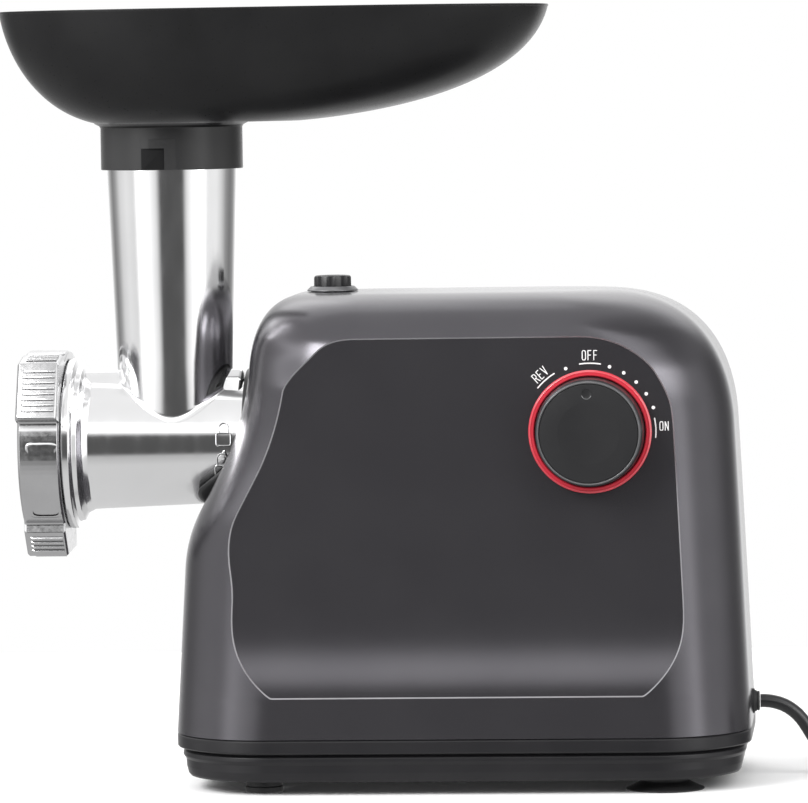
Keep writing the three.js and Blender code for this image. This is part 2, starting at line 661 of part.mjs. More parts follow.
// ---------- food tray ----------
const trayFront = outlineX(
  new THREE.Path().moveTo(-104, TRAY_FLOOR).bezierCurveTo(-128, 264, -145, 284, -148.8, RIM_Z),
);
const trayRear = outlineX(
  new THREE.Path().moveTo(-50, TRAY_FLOOR).bezierCurveTo(0, 263.5, 63, 275, 70.5, RIM_Z),
);
const trayHalf = outlineX(
  new THREE.Path().moveTo(28, TRAY_FLOOR).bezierCurveTo(50, 263.5, 62, 280, TRAY_HALF_WIDTH, RIM_Z),
);
const TRAY_SQUARENESS = 2.5;
function trayRing(z, inset, height) {
  const [front, rear] = [trayFront(z) + inset, trayRear(z) - inset];
  const [middle, half, wide] = [(front + rear) / 2, (rear - front) / 2, trayHalf(z) - inset];
  const bulge = (v) => Math.sign(v) * Math.abs(v) ** (2 / TRAY_SQUARENESS);
  return Array.from({ length: 36 }, (_, i) => {
    const a = (2 * Math.PI * i) / 36;
    return new THREE.Vector3(middle + half * bulge(Math.cos(a)), wide * bulge(Math.sin(a)), height);
  });
}
const TRAY_DEPTH = RIM_Z - TRAY_FLOOR;
const TRAY_STEPS = [0, 0.12, 0.22, 0.34, 0.48, 0.64, 0.8, 0.92, 1];
const trayLevels = TRAY_STEPS.map((t) => TRAY_FLOOR + TRAY_DEPTH * t * t);
const TRAY_WALL = 2.4;
const trayHollow = trayLevels.map((z) => trayRing(z, 1.6, z + TRAY_WALL));
const trayBowl = loft(trayLevels.map((z) => trayRing(z, 0, z))).subtract(loft(trayHollow));
const COLLAR_LOW = 244.9;
const collar = rod("z", 28.4, COLLAR_LOW, TRAY_FLOOR + 1.5, [TUBE_X, 0, 0], 36);
add(
  "food_tray",
  without(
    joined(trayBowl, collar),
    rod("z", 26.8, COLLAR_LOW - 5, TUBE_TOP + GAP, [TUBE_X, 0, 0], 36),
    rod("z", 22.6, COLLAR_LOW, TRAY_FLOOR + 10, [TUBE_X, 0, 0], 32),
    block(TUBE_X - 9.5, TUBE_X, -40, -20, COLLAR_LOW - 5, COLLAR_LOW + 8.5),
  ),
  TRAY_BLACK,
);

// ---------- mains cord ----------
const GLAND_END = 151.3;
const glandProfile = [
  [131, 2.9], [131, 5.6], [141, 6.8], [144.6, 6.8], [144.6, 4.9], [149.4, 4.9], [149.4, 4.3],
  [GLAND_END, 3.6], [GLAND_END, 2.9],
];
add("cord_gland", turned("x", glandProfile, [0, 0, GLAND_Z], 20), RUBBER);

const COIL_R = 40.5; // middle of its outermost turn
const COIL = [226, COIL_R];
const COIL_LOW = 0.9;
const COIL_LAYERS = 2;
const COIL_TURNS = 4; // side by side in a layer
const COIL_TOP = COIL_LOW + CORD_D * COIL_LAYERS + 0.2;
const coilOuter = COIL_R + CORD_D / 2 + 0.1;
const coilInner = COIL_R - CORD_D * (COIL_TURNS - 0.5) - 0.3;
add("cord_coil", ring("z", coilInner, coilOuter, COIL_LOW, COIL_TOP, [...COIL, 0], 32), RUBBER);

const route = (points) =>
  new THREE.CatmullRomCurve3(points.map(([x, z]) => new THREE.Vector3(x, 0, z)), false, "centripetal");
const CORD_OUT = [
  [151.6, 29.5], [153.5, 29.5], [157, 29], [161, 27.7], [164.5, 25.5], [167.5, 22.6], [170, 19],
  [172.6, 14.8], [175.6, 10.9], [179.3, 7.6], [183.8, 5.2], [188.5, 3.9], [193, 3.6], [198, 3.6],
  [203.5, 3.6],
];
const CORD_TAIL = [[247.8, 9], [251, 9.2], [254.5, 10.4], [257.5, 12], [260.3, 13.1], [263, 13.2]];
add("power_cord", tube(route(CORD_OUT), CORD_D / 2, 22, 10), RUBBER);
add("cord_tail", tube(route(CORD_TAIL), CORD_D / 2, 8, 10), RUBBER);

const PLUG_Z = 13.2;
const plugRing = (x, wide, tall, corner) => {
  const points = [];
  for (const [sy, sz, start] of [[1, 1, 0], [-1, 1, 90], [-1, -1, 180], [1, -1, 270]]) {
    for (let i = 0; i <= 3; i++) {
      const a = THREE.MathUtils.degToRad(start + 30 * i);
      const y = sy * (wide - corner) + corner * Math.cos(a);
      points.push(new THREE.Vector3(x, y, PLUG_Z + sz * (tall - corner) + corner * Math.sin(a)));
    }
  }
  return points;
};
const PLUG_START = 263.3;
const PLUG_FACE = PLUG_START + 37.7;
const PIN_LENGTH = 19;
add(
  "power_plug",
  joined(
    loft([
      plugRing(PLUG_START, 3.6, 3.6, 3.5),
      plugRing(PLUG_START + 13.7, 5.2, 5.2, 5),
      plugRing(PLUG_START + 17.7, 13, 10, 8),
      plugRing(PLUG_START + 23.7, 17.5, 13, 11),
      plugRing(PLUG_FACE - 1.5, 18, 13.1, 12),
      plugRing(PLUG_FACE, 17, 12.1, 11),
    ]),
    rod("x", 2.4, PLUG_FACE - 5, PLUG_FACE + PIN_LENGTH, [0, -9.5, PLUG_Z], 12),
    rod("x", 2.4, PLUG_FACE - 5, PLUG_FACE + PIN_LENGTH, [0, 9.5, PLUG_Z], 12),
  ),
  BLACK,
);

// A soft tie round the coil's far side, clear of it all round.
const tieAt = COIL[1] + (coilInner + coilOuter) / 2;
const tieHalf = (coilOuter - coilInner) / 2 + 3 * GAP;
const TIE_WALL = 0.6;
const tieBox = (grow, x) =>
  block(COIL[0] - x, COIL[0] + x, tieAt - tieHalf - grow, tieAt + tieHalf + grow,
    COIL_LOW - GAP - grow, COIL_TOP + GAP + grow);
add("cord_tie", tieBox(TIE_WALL, 4).subtract(tieBox(0, 6)), BLACK);

export default product;
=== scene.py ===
"""The looks of an electric meat grinder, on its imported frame.

Shapes are worked out in millimetres: x runs along the grinding head, y is counted from the
housing's middle plane and z from the soles of the feet. place() turns them into the row frame.
"""

import json
from math import asin, atan2, copysign, cos, hypot, pi, radians, sin, sqrt, tan

import bmesh
import bpy
from mathutils import Matrix, Vector


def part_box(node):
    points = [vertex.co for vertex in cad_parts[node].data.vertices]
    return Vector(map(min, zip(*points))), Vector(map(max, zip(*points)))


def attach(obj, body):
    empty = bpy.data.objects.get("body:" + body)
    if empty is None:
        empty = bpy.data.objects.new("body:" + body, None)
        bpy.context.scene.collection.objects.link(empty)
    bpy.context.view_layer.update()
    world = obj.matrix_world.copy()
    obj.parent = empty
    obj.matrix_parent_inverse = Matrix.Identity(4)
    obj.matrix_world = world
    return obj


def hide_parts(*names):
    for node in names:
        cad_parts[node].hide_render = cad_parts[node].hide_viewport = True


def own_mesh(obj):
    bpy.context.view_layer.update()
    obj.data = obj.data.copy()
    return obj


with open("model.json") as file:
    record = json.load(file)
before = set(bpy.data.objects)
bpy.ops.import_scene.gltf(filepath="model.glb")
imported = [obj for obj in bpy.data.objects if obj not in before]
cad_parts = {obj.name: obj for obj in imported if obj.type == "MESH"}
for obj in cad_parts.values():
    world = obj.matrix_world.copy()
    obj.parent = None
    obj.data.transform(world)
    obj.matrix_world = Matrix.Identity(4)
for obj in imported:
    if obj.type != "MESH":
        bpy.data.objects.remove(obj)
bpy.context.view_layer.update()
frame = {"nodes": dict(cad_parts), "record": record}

MM = 0.001


def span(node, axis):
    """A CAD node's lowest and highest place along an axis, in millimetres."""
    return [corner["xyz".index(axis)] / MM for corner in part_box(node)]


def low(node, axis):
    return span(node, axis)[0]


def high(node, axis):
    return span(node, axis)[1]


def middle(node, axis):
    return sum(span(node, axis)) / 2


# ---------- places that the frame gives ----------
MID_Y = (low("housing_left_shell", "y") + high("housing_right_shell", "y")) / 2
AXIS_Z = middle("auger_washer", "z")
HOUSING_BOTTOM = low("housing_left_shell", "z")
HOUSING_TOP = high("housing_left_shell", "z")
HALF_WIDTH = high("housing_right_shell", "y") - MID_Y
DIAL_X, DIAL_Z = middle("control_dial", "x"), middle("control_dial", "z")
DIAL_FACE = MID_Y - low("control_dial", "y")
BUTTON_X = middle("button_bezel", "x")
TRAY_RIM = high("food_tray", "z")
COLLAR_LOW = low("food_tray", "z")
HEAD_FRONT, HEAD_REAR = span("head_casting", "x")
TUBE_TOP = high("feed_tube", "z")
NUT_FRONT, NUT_BACK = span("ring_nut", "x")
GLAND_Z = middle("cord_gland", "z")
GLAND_END = high("cord_gland", "x")


def place(x, y, z):
    return Vector((x, y + MID_Y, z)) * MM


def add(name, data):
    """A new object in the scene."""
    made = bpy.data.objects.new(name, data)
    bpy.context.collection.objects.link(made)
    return made


# ---------- camera ----------
PHOTO_WIDTH = 808  # pixels
FOCAL = 6000  # pixels
SENSOR = 36  # mm
CAMERA_AWAY = 2400
FAR_CLIP = 100  # m
CAMERA_TURN, CAMERA_RISE, CAMERA_ROLL = radians(4.8), radians(3.15), radians(0.9)
LOOK_AT = place(10.7, 0, 150.6)


def add_camera():
    data = bpy.data.cameras.new("camera")
    data.sensor_width = SENSOR
    data.lens = FOCAL / PHOTO_WIDTH * SENSOR
    data.clip_end = FAR_CLIP
    back = Vector((
        sin(CAMERA_TURN) * cos(CAMERA_RISE),
        -cos(CAMERA_TURN) * cos(CAMERA_RISE),
        sin(CAMERA_RISE),
    ))
    level = Vector((cos(CAMERA_TURN), sin(CAMERA_TURN), 0))
    upright = back.cross(level)
    right = level * cos(CAMERA_ROLL) - upright * sin(CAMERA_ROLL)
    up = upright * cos(CAMERA_ROLL) + level * sin(CAMERA_ROLL)
    camera = add("camera", data)
    turn = Matrix((right, up, back)).transposed().to_4x4()
    camera.matrix_world = Matrix.Translation(LOOK_AT + back * CAMERA_AWAY * MM) @ turn
    bpy.context.scene.camera = camera


add_camera()


# ---------- materials ----------
DRIFT = {"Scale": 38, "Detail": 4}  # of the slow change of colour over a surface
BUMP_DEPTH = 0.0002
LOOKS = {}  # each material by its name


def new_node(nodes, kind, values=()):
    """A shader node with values on its sockets."""
    made = nodes.new("ShaderNode" + kind)
    for socket, value in dict(values).items():
        made.inputs[socket].default_value = value
    return made


def ramp(nodes, stops):
    """A colour ramp through (position, colour) stops."""
    made = new_node(nodes, "ValToRGB")
    line = made.color_ramp.elements
    while len(line) < len(stops):
        line.new(1.0)
    for element, (position, colour) in zip(line, stops):
        element.position = position
        element.color = (*colour, 1)
    return made


def material(name, dark, light, rough, metal=0.0, grain=700, bump=0.04, stretch=(1, 1, 1), **sockets):
    """Colour and roughness drift over the surface between two values, above a fine bump.

    rough is the lowest and highest roughness. grain is the bump's frequency per metre, and
    stretch squeezes it along an axis, as brushing or turning does. Other shader sockets are
    given by name.
    """
    made = bpy.data.materials.new(name)
    made.use_nodes = True
    nodes, links = made.node_tree.nodes, made.node_tree.links
    shader = nodes["Principled BSDF"]
    where = new_node(nodes, "TexCoord")

    drift = new_node(nodes, "TexNoise", DRIFT)
    links.new(where.outputs["Object"], drift.inputs["Vector"])
    colour = ramp(nodes, [(0.35, dark), (0.65, light)])
    links.new(drift.outputs["Fac"], colour.inputs["Fac"])
    links.new(colour.outputs["Color"], shader.inputs["Base Color"])

    squeeze = new_node(nodes, "Mapping", {"Scale": stretch})
    links.new(where.outputs["Object"], squeeze.inputs["Vector"])
    fine = new_node(nodes, "TexNoise", {"Scale": grain, "Detail": 3})
    links.new(squeeze.outputs["Vector"], fine.inputs["Vector"])

    limits = {"From Min": 0.3, "From Max": 0.7, "To Min": rough[0], "To Max": rough[1]}
    roughness = new_node(nodes, "MapRange", limits)
    links.new(fine.outputs["Fac"], roughness.inputs["Value"])
    links.new(roughness.outputs["Result"], shader.inputs["Roughness"])

    raised = new_node(nodes, "Bump", {"Strength": bump, "Distance": BUMP_DEPTH})
    links.new(fine.outputs["Fac"], raised.inputs["Height"])
    links.new(raised.outputs["Normal"], shader.inputs["Normal"])

    shader.inputs["Metallic"].default_value = metal
    for socket, value in sockets.items():
        shader.inputs[socket.replace("_", " ")].default_value = value
    LOOKS[name] = made
    return made


SHELL = material(
    "shell_grey", (0.083, 0.080, 0.088), (0.090, 0.087, 0.095), (0.20, 0.25),
    metal=0.78, bump=0.03, grain=1400,
)
# A lighter copy of the shell's grey for the chamfer round the side panel: a painted highlight line along the
# panel's edge.
SHELL_EDGE_HIGHLIGHT = material(
    "shell_edge_highlight", (0.30, 0.295, 0.31), (0.34, 0.335, 0.35), (0.38, 0.48), metal=0.5, bump=0.03,
)
BASE = material(
    "base_grey", (0.011, 0.0107, 0.012), (0.014, 0.0136, 0.015), (0.30, 0.38),
    bump=0.08, grain=1200, Specular_IOR_Level=0.28,
)
# A lighter copy of the tray's black for the collar's outer wall: painted light.
COLLAR_LIT = material(
    "collar_black_lit", (0.021, 0.021, 0.0215), (0.026, 0.026, 0.0265), (0.30, 0.38),
    bump=0.05, grain=900, Specular_IOR_Level=0.4,
)
TRAY = material(
    "tray_black", (0.011, 0.011, 0.0114), (0.014, 0.014, 0.0144), (0.27, 0.34),
    bump=0.05, grain=900, Specular_IOR_Level=0.12,
)
BLACK = material(
    "black_plastic", (0.009, 0.009, 0.0095), (0.014, 0.014, 0.015), (0.36, 0.46), bump=0.1, grain=1500,
)
KNOB = material(
    "knob_black", (0.012, 0.012, 0.013), (0.016, 0.016, 0.017), (0.30, 0.36), bump=0.06, grain=1800,
)
RED = material(
    "red_plastic", (0.56, 0.02, 0.04), (0.62, 0.03, 0.05), (0.14, 0.2),
    bump=0.02, Coat_Weight=1.0, Coat_IOR=2.1,
)
POLISHED = material(
    "polished_aluminium", (0.78, 0.78, 0.785), (0.82, 0.82, 0.825), (0.10, 0.16),
    metal=1.0, grain=260, bump=0.012, stretch=(1, 1, 0.25),
)
NUT = material(
    "nut_aluminium", (0.46, 0.46, 0.465), (0.52, 0.52, 0.525), (0.16, 0.26), metal=1.0, grain=500, bump=0.04,
)
TRIM = material("trim_grey", (0.16, 0.16, 0.165), (0.2, 0.2, 0.205), (0.32, 0.4), metal=0.8, bump=0.02)
ALUMINIUM = material(
    "plain_aluminium", (0.60, 0.61, 0.62), (0.68, 0.69, 0.70), (0.24, 0.36), metal=1.0, bump=0.1,
)
STEEL = material(
    "steel", (0.46, 0.47, 0.48), (0.56, 0.57, 0.58), (0.18, 0.32), metal=1.0, grain=900, bump=0.06,
    stretch=(0.1, 1, 1),
)
material("copper", (0.55, 0.24, 0.12), (0.68, 0.34, 0.19), (0.22, 0.36), metal=1.0, bump=0.08)
material("brass", (0.62, 0.45, 0.16), (0.72, 0.55, 0.24), (0.2, 0.34), metal=1.0, bump=0.06)
material("nylon", (0.70, 0.67, 0.58), (0.78, 0.76, 0.68), (0.38, 0.5), bump=0.1)
RUBBER = material(
    "rubber", (0.010, 0.010, 0.0105), (0.016, 0.016, 0.017), (0.55, 0.7), bump=0.2, grain=2200,
)
CORD = material("cord_rubber", (0.012, 0.012, 0.013), (0.02, 0.02, 0.021), (0.3, 0.4), bump=0.1, grain=1600)
material("board_green", (0.02, 0.12, 0.05), (0.03, 0.17, 0.07), (0.3, 0.45), bump=0.3, grain=400)
LEGEND = material("legend_white", (0.72, 0.72, 0.72), (0.82, 0.82, 0.82), (0.4, 0.5), bump=0.02)
FELT = material("tie_felt", (0.012, 0.012, 0.013), (0.03, 0.03, 0.032), (0.8, 0.95), bump=0.8, grain=2600)


def dress_cad_nodes():
    """Every CAD node takes the material named as its slot. Most that show are replaced below."""
    for part in frame["record"]["subparts"]:
        node = frame["nodes"][part["node"]]
        node.data.materials.clear()
        node.data.materials.append(LOOKS[part["material_slot"]])


dress_cad_nodes()


# ---------- shapes: (points in millimetres, faces) ----------
def steps(first, last, count):
    return [first + (last - first) * i / count for i in range(count + 1)]


def all_round(count):
    """Angles spaced evenly over a full turn."""
    return [2 * pi * i / count for i in range(count)]


def clamp(value, least, most):
    return max(least, min(most, value))


def together(*shapes):
    points, faces = [], []
    for more_points, more_faces in shapes:
        start = len(points)
        points += more_points
        faces += [[start + i for i in face] for face in more_faces]
    return points, faces


def lofted(rings, closed=False, caps=True):
    """A skin over rings of equally many points. closed joins the last ring to the first."""
    count = len(rings[0])
    points = [p for ring in rings for p in ring]
    faces = []
    pairs = len(rings) if closed else len(rings) - 1
    for r in range(pairs):
        near, far = r * count, ((r + 1) % len(rings)) * count
        for i in range(count):
            j = (i + 1) % count
            faces.append([near + i, near + j, far + j, far + i])
    if caps and not closed:
        last = (len(rings) - 1) * count
        faces.append(list(range(count))[::-1])
        faces.append([last + i for i in range(count)])
    return points, faces


def rounded(corners, radius=0.5, count=4, closed=False):
    """A line through 2-D corners, each rounded. A corner may carry its own radius as a third value."""
    line = []
    total = len(corners)
    for i, corner in enumerate(corners):
        here = Vector(corner[:2])
        if not closed and i in (0, total - 1):
            line.append(tuple(here))
            continue
        back = Vector(corners[i - 1][:2]) - here
        ahead = Vector(corners[(i + 1) % total][:2]) - here
        wanted = corner[2] if len(corner) > 2 else radius
        half = back.angle(ahead, pi) / 2
        reach = min(wanted / max(tan(half), 1e-3), 0.45 * back.length, 0.45 * ahead.length)
        if reach < 0.01:
            line.append(tuple(here))
            continue
        start, end = here + back.normalized() * reach, here + ahead.normalized() * reach
        line += [tuple(p) for p in bezier([start, here, end], count)]
    return line


def bezier(controls, count=40):
    """Points along a Bezier curve of any degree."""
    found = []
    for t in steps(0, 1, count):
        level = [Vector(c) for c in controls]
        while len(level) > 1:
            level = [a.lerp(b, t) for a, b in zip(level, level[1:])]
        found.append(level[0])
    return found


def spun(axis, along, radius, angle, centre):
    """The point at that place along an axis, that far out and that way round."""
    a, b = radius * cos(angle), radius * sin(angle)
    offset = {"x": (along, a, b), "y": (a, along, b), "z": (a, b, along)}[axis]
    return tuple(c + o for c, o in zip(centre, offset))


def turned(axis, profile, centre=(0, 0, 0), sides=96):
    """A turned solid. Its profile is [(along, radius)] and runs from the axis to the axis or closes."""
    on_axis = profile[0][1] == 0
    body = [p for p in profile if p[1] > 0]
    rings = [[spun(axis, along, radius, a, centre) for a in all_round(sides)] for along, radius in body]
    points, faces = lofted(rings, closed=not on_axis, caps=False)
    if on_axis:
        for end, ring in ((profile[0], 0), (profile[-1], len(rings) - 1)):
            points.append(spun(axis, end[0], 0, 0, centre))
            start = ring * sides
            faces += [[start + i, start + (i + 1) % sides, len(points) - 1] for i in range(sides)]
    return points, faces


def level_ring(x, radius, height, sides):
    """A circle on one level, round a place on the middle plane."""
    return [(x + radius * cos(a), radius * sin(a), height) for a in all_round(sides)]


def squared(angle, square):
    """Cosine and sine on a circle drawn towards a square: 2 leaves it round."""
    c, s = cos(angle), sin(angle)
    return copysign(abs(c) ** (2 / square), c), copysign(abs(s) ** (2 / square), s)


def rod(axis, radius, start, end, centre, sides=64):
    return turned(axis, [(start, 0), (start, radius), (end, radius), (end, 0)], centre, sides)


def block(x, y, z):
    """A box over three (lowest, highest) pairs."""
    floor = [(x[0], y[0]), (x[1], y[0]), (x[1], y[1]), (x[0], y[1])]
    return lofted([[(a, b, level) for a, b in floor] for level in z])


# ---------- objects ----------
def build(name, shape):
    points, faces = shape
    mesh = bpy.data.meshes.new(name)
    mesh.from_pydata([place(*p) for p in points], [], faces)
    work = bmesh.new()
    work.from_mesh(mesh)
    bmesh.ops.remove_doubles(work, verts=work.verts, dist=1e-7)
    bmesh.ops.recalc_face_normals(work, faces=work.faces)
    work.to_mesh(mesh)
    work.free()
    return add(name, mesh)


def settle(made):
    """Turns the modifiers into mesh."""
    graph = bpy.context.evaluated_depsgraph_get()
    mesh = bpy.data.meshes.new_from_object(made.evaluated_get(graph))
    made.modifiers.clear()
    made.data = mesh


def carve(made, *shapes):
    """Cuts the shapes out of an object."""
    for shape in shapes:
        cutter = build("cutter", shape)
        modifier = made.modifiers.new("carve", "BOOLEAN")
        modifier.solver = "EXACT"
        modifier.object = cutter
        settle(made)
        bpy.data.objects.remove(cutter)


def show(made, look, body, slot, *nodes, crease=30):
    """Gives an object its material and smooth shading, and puts it on its body for its CAD nodes."""
    if not made.data.materials:
        made.data.materials.append(look)
    made.data.shade_smooth()
    made.data.set_sharp_from_angle(angle=radians(crease))
    if nodes:
        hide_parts(*nodes)
    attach(made, body)
    return made


def piece(name, shape, look, body, slot, *nodes, crease=30):
    return show(build(name, shape), look, body, slot, *nodes, crease=crease)


# ---------- mains cord ----------
CORD_D = 5.4
COIL_X = 226
COIL_R = 40.5  # middle of its outermost turn
COIL_TURNS = 4  # side by side in a layer
CORD_FLOOR = 3.6  # height of the cord's middle where it lies
CORD_OUT = [  # (x, z) from the gland down to the floor
    (151.6, 29.5), (153.5, 29.5), (157, 29), (161, 27.7), (164.5, 25.5), (167.5, 22.6),
    (170, 19), (172.6, 14.8), (175.6, 10.9), (179.3, 7.6), (183.8, 5.2), (188.5, 3.9),
    (193, CORD_FLOOR), (198, CORD_FLOOR), (203.5, CORD_FLOOR), (212, CORD_FLOOR),
]
CORD_TAIL = [(240, 9), (247.8, 9), (251, 9.2), (254.5, 10.4), (257.5, 12), (260.3, 13.1), (263, 13.2)]
COIL_STEPS = 24  # points a turn


def coil_points():
    """In along the floor, up at the innermost turn, and out again a layer higher."""
    inward = COIL_TURNS - 1
    total = 2 * inward + 1
    count = COIL_STEPS * total
    found = []
    for i in range(count + 1):
        turn = total * i / count
        radius = COIL_R - CORD_D * min(turn, inward, total - turn)
        angle = 2 * pi * turn - pi / 2
        height = CORD_FLOOR + CORD_D * clamp(turn - inward, 0, 1)
        found.append((COIL_X + radius * cos(angle), COIL_R + radius * sin(angle), height))
    return found


def make_cord():
    route = [(x, 0, z) for x, z in CORD_OUT] + coil_points() + [(x, 0, z) for x, z in CORD_TAIL]
    data = bpy.data.curves.new("mains_cord", "CURVE")
    data.dimensions = "3D"
    data.bevel_depth = CORD_D / 2 * MM
    data.bevel_resolution = 5
    data.use_fill_caps = True
    line = data.splines.new("BEZIER")
    line.bezier_points.add(len(route) - 1)
    for knot, point in zip(line.bezier_points, route):
        knot.co = place(*point)
        knot.handle_left_type = knot.handle_right_type = "AUTO"
    line.resolution_u = 4
    cord = add("mains_cord", data)
    data.materials.append(CORD)
    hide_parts("power_cord", "cord_coil", "cord_tail")
    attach(cord, "housing")


def make_gland():
    inner = 2.85
    outside = [(131, inner), (131, 5.6), (141, 6.8), (144.6, 6.8), (144.6, 4.9), (149.3, 4.9, 0.2)]
    ribs = [(149.4, 4.3, 0.3), (150.1, 4.15, 0.2), (150.1, 3.8, 0.2), (150.6, 3.8, 0.2), (150.6, 4.0, 0.2)]
    end = [(GLAND_END, 3.7, 0.3), (GLAND_END, inner)]
    shape = turned("x", rounded(outside + ribs + end, 0.3), (0, 0, GLAND_Z), 48)
    return piece("cord_strain_relief", shape, RUBBER, "housing", "rubber", "cord_gland")


PIN_LONG = 19
PIN_R = 2.38
PIN_Y = 9.5
PLUG_SQUARE = 2.6
PLUG_SIDES = 72


def make_plug():
    start, face = low("power_plug", "x"), high("power_plug", "x") - PIN_LONG
    centre = middle("power_plug", "z")

    def ring(x, wide, tall):
        around = [squared(a, PLUG_SQUARE) for a in all_round(PLUG_SIDES)]
        return [(x, wide * across, centre + tall * upward) for across, upward in around]

    grip = face - start
    stations = [  # (share of the grip's length, half its width, half its height)
        (0.0, 3.4, 3.4), (0.02, 3.6, 3.6), (0.34, 4.9, 4.9), (0.38, 5.6, 5.4), (0.44, 10.5, 8.2),
        (0.52, 13.6, 10.4), (0.6, 15.8, 11.8), (0.7, 17.3, 12.7), (0.8, 17.8, 12.95), (0.93, 17.9, 13.0),
        (0.975, 17.6, 12.7), (1.0, 16.4, 11.6),
    ]
    body = lofted([ring(start + share * grip, wide, tall) for share, wide, tall in stations])
    ribs = [
        turned("x", rounded([
            (start + x, 3), (start + x, 5.3), (start + x + 1.3, 5.3), (start + x + 1.3, 3),
        ], 0.4), (0, 0, centre), 48)
        for x in steps(2.2, 9.4, 3)
    ]
    end = face + PIN_LONG
    pin = [(face - 2, 0), (face - 2, PIN_R), (end - 0.8, PIN_R, 1.2), (end, 1.2, 0.5), (end, 0)]
    pins = [turned("x", rounded(pin, 0.3), (0, y, centre), 32) for y in (-PIN_Y, PIN_Y)]
    made = piece(
        "mains_plug", together(body, *ribs), BLACK, "housing", "black_plastic", "power_plug", crease=40
    )
    return made, piece("mains_plug_pins", together(*pins), STEEL, "housing", "steel")


def make_tie():
    """A felt strap round the coil's far side."""
    wall = 0.6
    x0, x1 = low("cord_tie", "x") + 0.05, high("cord_tie", "x") - 0.05
    y0, y1 = low("cord_tie", "y") - MID_Y, high("cord_tie", "y") - MID_Y
    z0, z1 = span("cord_tie", "z")
    outer, inner = [
        rounded([(y0 + t, z0 + t), (y1 - t, z0 + t), (y1 - t, z1 - t), (y0 + t, z1 - t)], r, 6, closed=True)
        for t, r in ((0, 2.2), (wall, 1.6))
    ]
    strips = [(outer, x0), (outer, x1), (inner, x1), (inner, x0)]
    shape = lofted([[(x, y, z) for y, z in line] for line, x in strips], closed=True)
    return piece("cord_strap", shape, FELT, "housing", "black_plastic", "cord_tie")


gland = make_gland()
plug, pins = make_plug()
tie = make_tie()
make_cord()


# ---------- housing ----------
WALL = 3
SIDE_DRAFT = 0.022
TOP_ROUND = 31
CORNER_Y = 40
PANEL_DEPTH = 4.8
PANEL_LOW = 38.5
PANEL_FLARE = 80
FLARE = (6.67, -7.64, 1.97)  # how the panel's foot curves out; they sum to 1
SEAM = 0.15  # half the gap between the two shells
LIP = 0.5  # chamfer round the side panel
# (height, how far the rounded corner reaches along x)
FRONT_CORNER = [(22.5, 40), (76, 43), (112, 33), (158, 33), (172, 46), (180, 42), (195, 32)]
REAR_CORNER = [(22.5, 40), (76, 43), (150, 43), (172, 50), (182, 46), (195, 34)]
MOUTH_R = 30.5
BUTTON_HOLE_R = 8.3
GLAND_HOLE_R = 5.3
DIAL_HOLE_R = 6
MOUTH_CUT, GLAND_CUT, DIAL_CUT = (-95, -36), (140, 155), (-80, -50)  # from and to
LOWER_FLARE = 8  # height over which the levels lie closer at the panel's foot
UPPER_FLARE = 16  # and below its top


def rising(*curves):
    """x as a function of height along a side outline made of Bezier curves."""
    line = [p for curve in curves for p in bezier(curve, 160)]

    def at_height(z):
        for a, b in zip(line, line[1:]):
            if z <= b.y and b.y > a.y:
                return a.x + (b.x - a.x) * clamp((z - a.y) / (b.y - a.y), 0, 1)
        return line[-1].x

    return at_height


front_x = rising(
    [(-78.8, HOUSING_BOTTOM), (-74.7, 88)],
    [(-74.7, 88), (-73.8, 99.5), (-68.5, 109.6)],
    [(-68.5, 109.6), (-60, 125.6)],
    [(-60, 125.6), (-54, 137), (-49.5, 152), (-48.2, 166)],
    [(-48.2, 166), (-46.8, 184), (-40, HOUSING_TOP), (-25, HOUSING_TOP)],
)
rear_x = rising(
    [(148.8, HOUSING_BOTTOM), (147, 60), (145.4, 105), (143.6, 141)],
    [(143.6, 141), (142.6, 172), (127, HOUSING_TOP), (91, HOUSING_TOP)],
)


def through(stops, z):
    """A value that passes smoothly through (height, value) stops."""
    if z <= stops[0][0]:
        return stops[0][1]
    for (z0, a), (z1, b) in zip(stops, stops[1:]):
        if z <= z1:
            t = (z - z0) / (z1 - z0)
            return a + (b - a) * t * t * (3 - 2 * t)
    return stops[-1][1]


def side_y(z):
    return HALF_WIDTH - SIDE_DRAFT * (z - HOUSING_BOTTOM)


def panel_y(z):
    out = clamp((PANEL_FLARE - z) / (PANEL_FLARE - PANEL_LOW), 0, 1)
    flare = out ** 4 * (FLARE[0] + FLARE[1] * out + FLARE[2] * out ** 2)
    return side_y(z) - PANEL_DEPTH * (1 - flare)


def housing_size(z, inset):
    """Half the housing's width at a height, the depth of its corners, and where the panel cuts them."""
    shoulder = clamp((z - (HOUSING_TOP - TOP_ROUND)) / TOP_ROUND, 0, 1)
    full = side_y(z)
    half = full - CORNER_Y * (1 - sqrt(1 - shoulder ** 2)) - inset
    depth = (CORNER_Y - inset) * half / (full - inset)
    return half, depth, min(panel_y(z) - inset, half)


def half_ring(z, side, inset=0.0, height=None):
    """One level of one shell, from the seam at the front round its side to the seam at the rear."""
    half, depth, cut = housing_size(z, inset)
    lean = asin(clamp((cut - (half - depth)) / depth, 0, 1))
    front, rear = front_x(z) + inset, rear_x(z) - inset
    front_corner = through(FRONT_CORNER, z) - inset
    rear_corner = through(REAR_CORNER, z) - inset
    straight = steps(SEAM, half - depth, 6)[:-1]
    arc = [(1 - cos(a), half - depth + depth * sin(a)) for a in steps(0, lean, 22)]
    first = [(front, y) for y in straight] + [(front + front_corner * x, y) for x, y in arc]
    second = [(rear, y) for y in straight] + [(rear - rear_corner * x, y) for x, y in arc]
    level = z if height is None else height
    return [(x, side * y, level) for x, y in first + second[::-1]]


def panel_top():
    """The height at which the rounded top edge meets the side panel."""
    below, above = HOUSING_TOP - TOP_ROUND, HOUSING_TOP
    for _ in range(40):
        z = (below + above) / 2
        if housing_size(z, 0)[0] > panel_y(z):
            below = z
        else:
            above = z
    return above


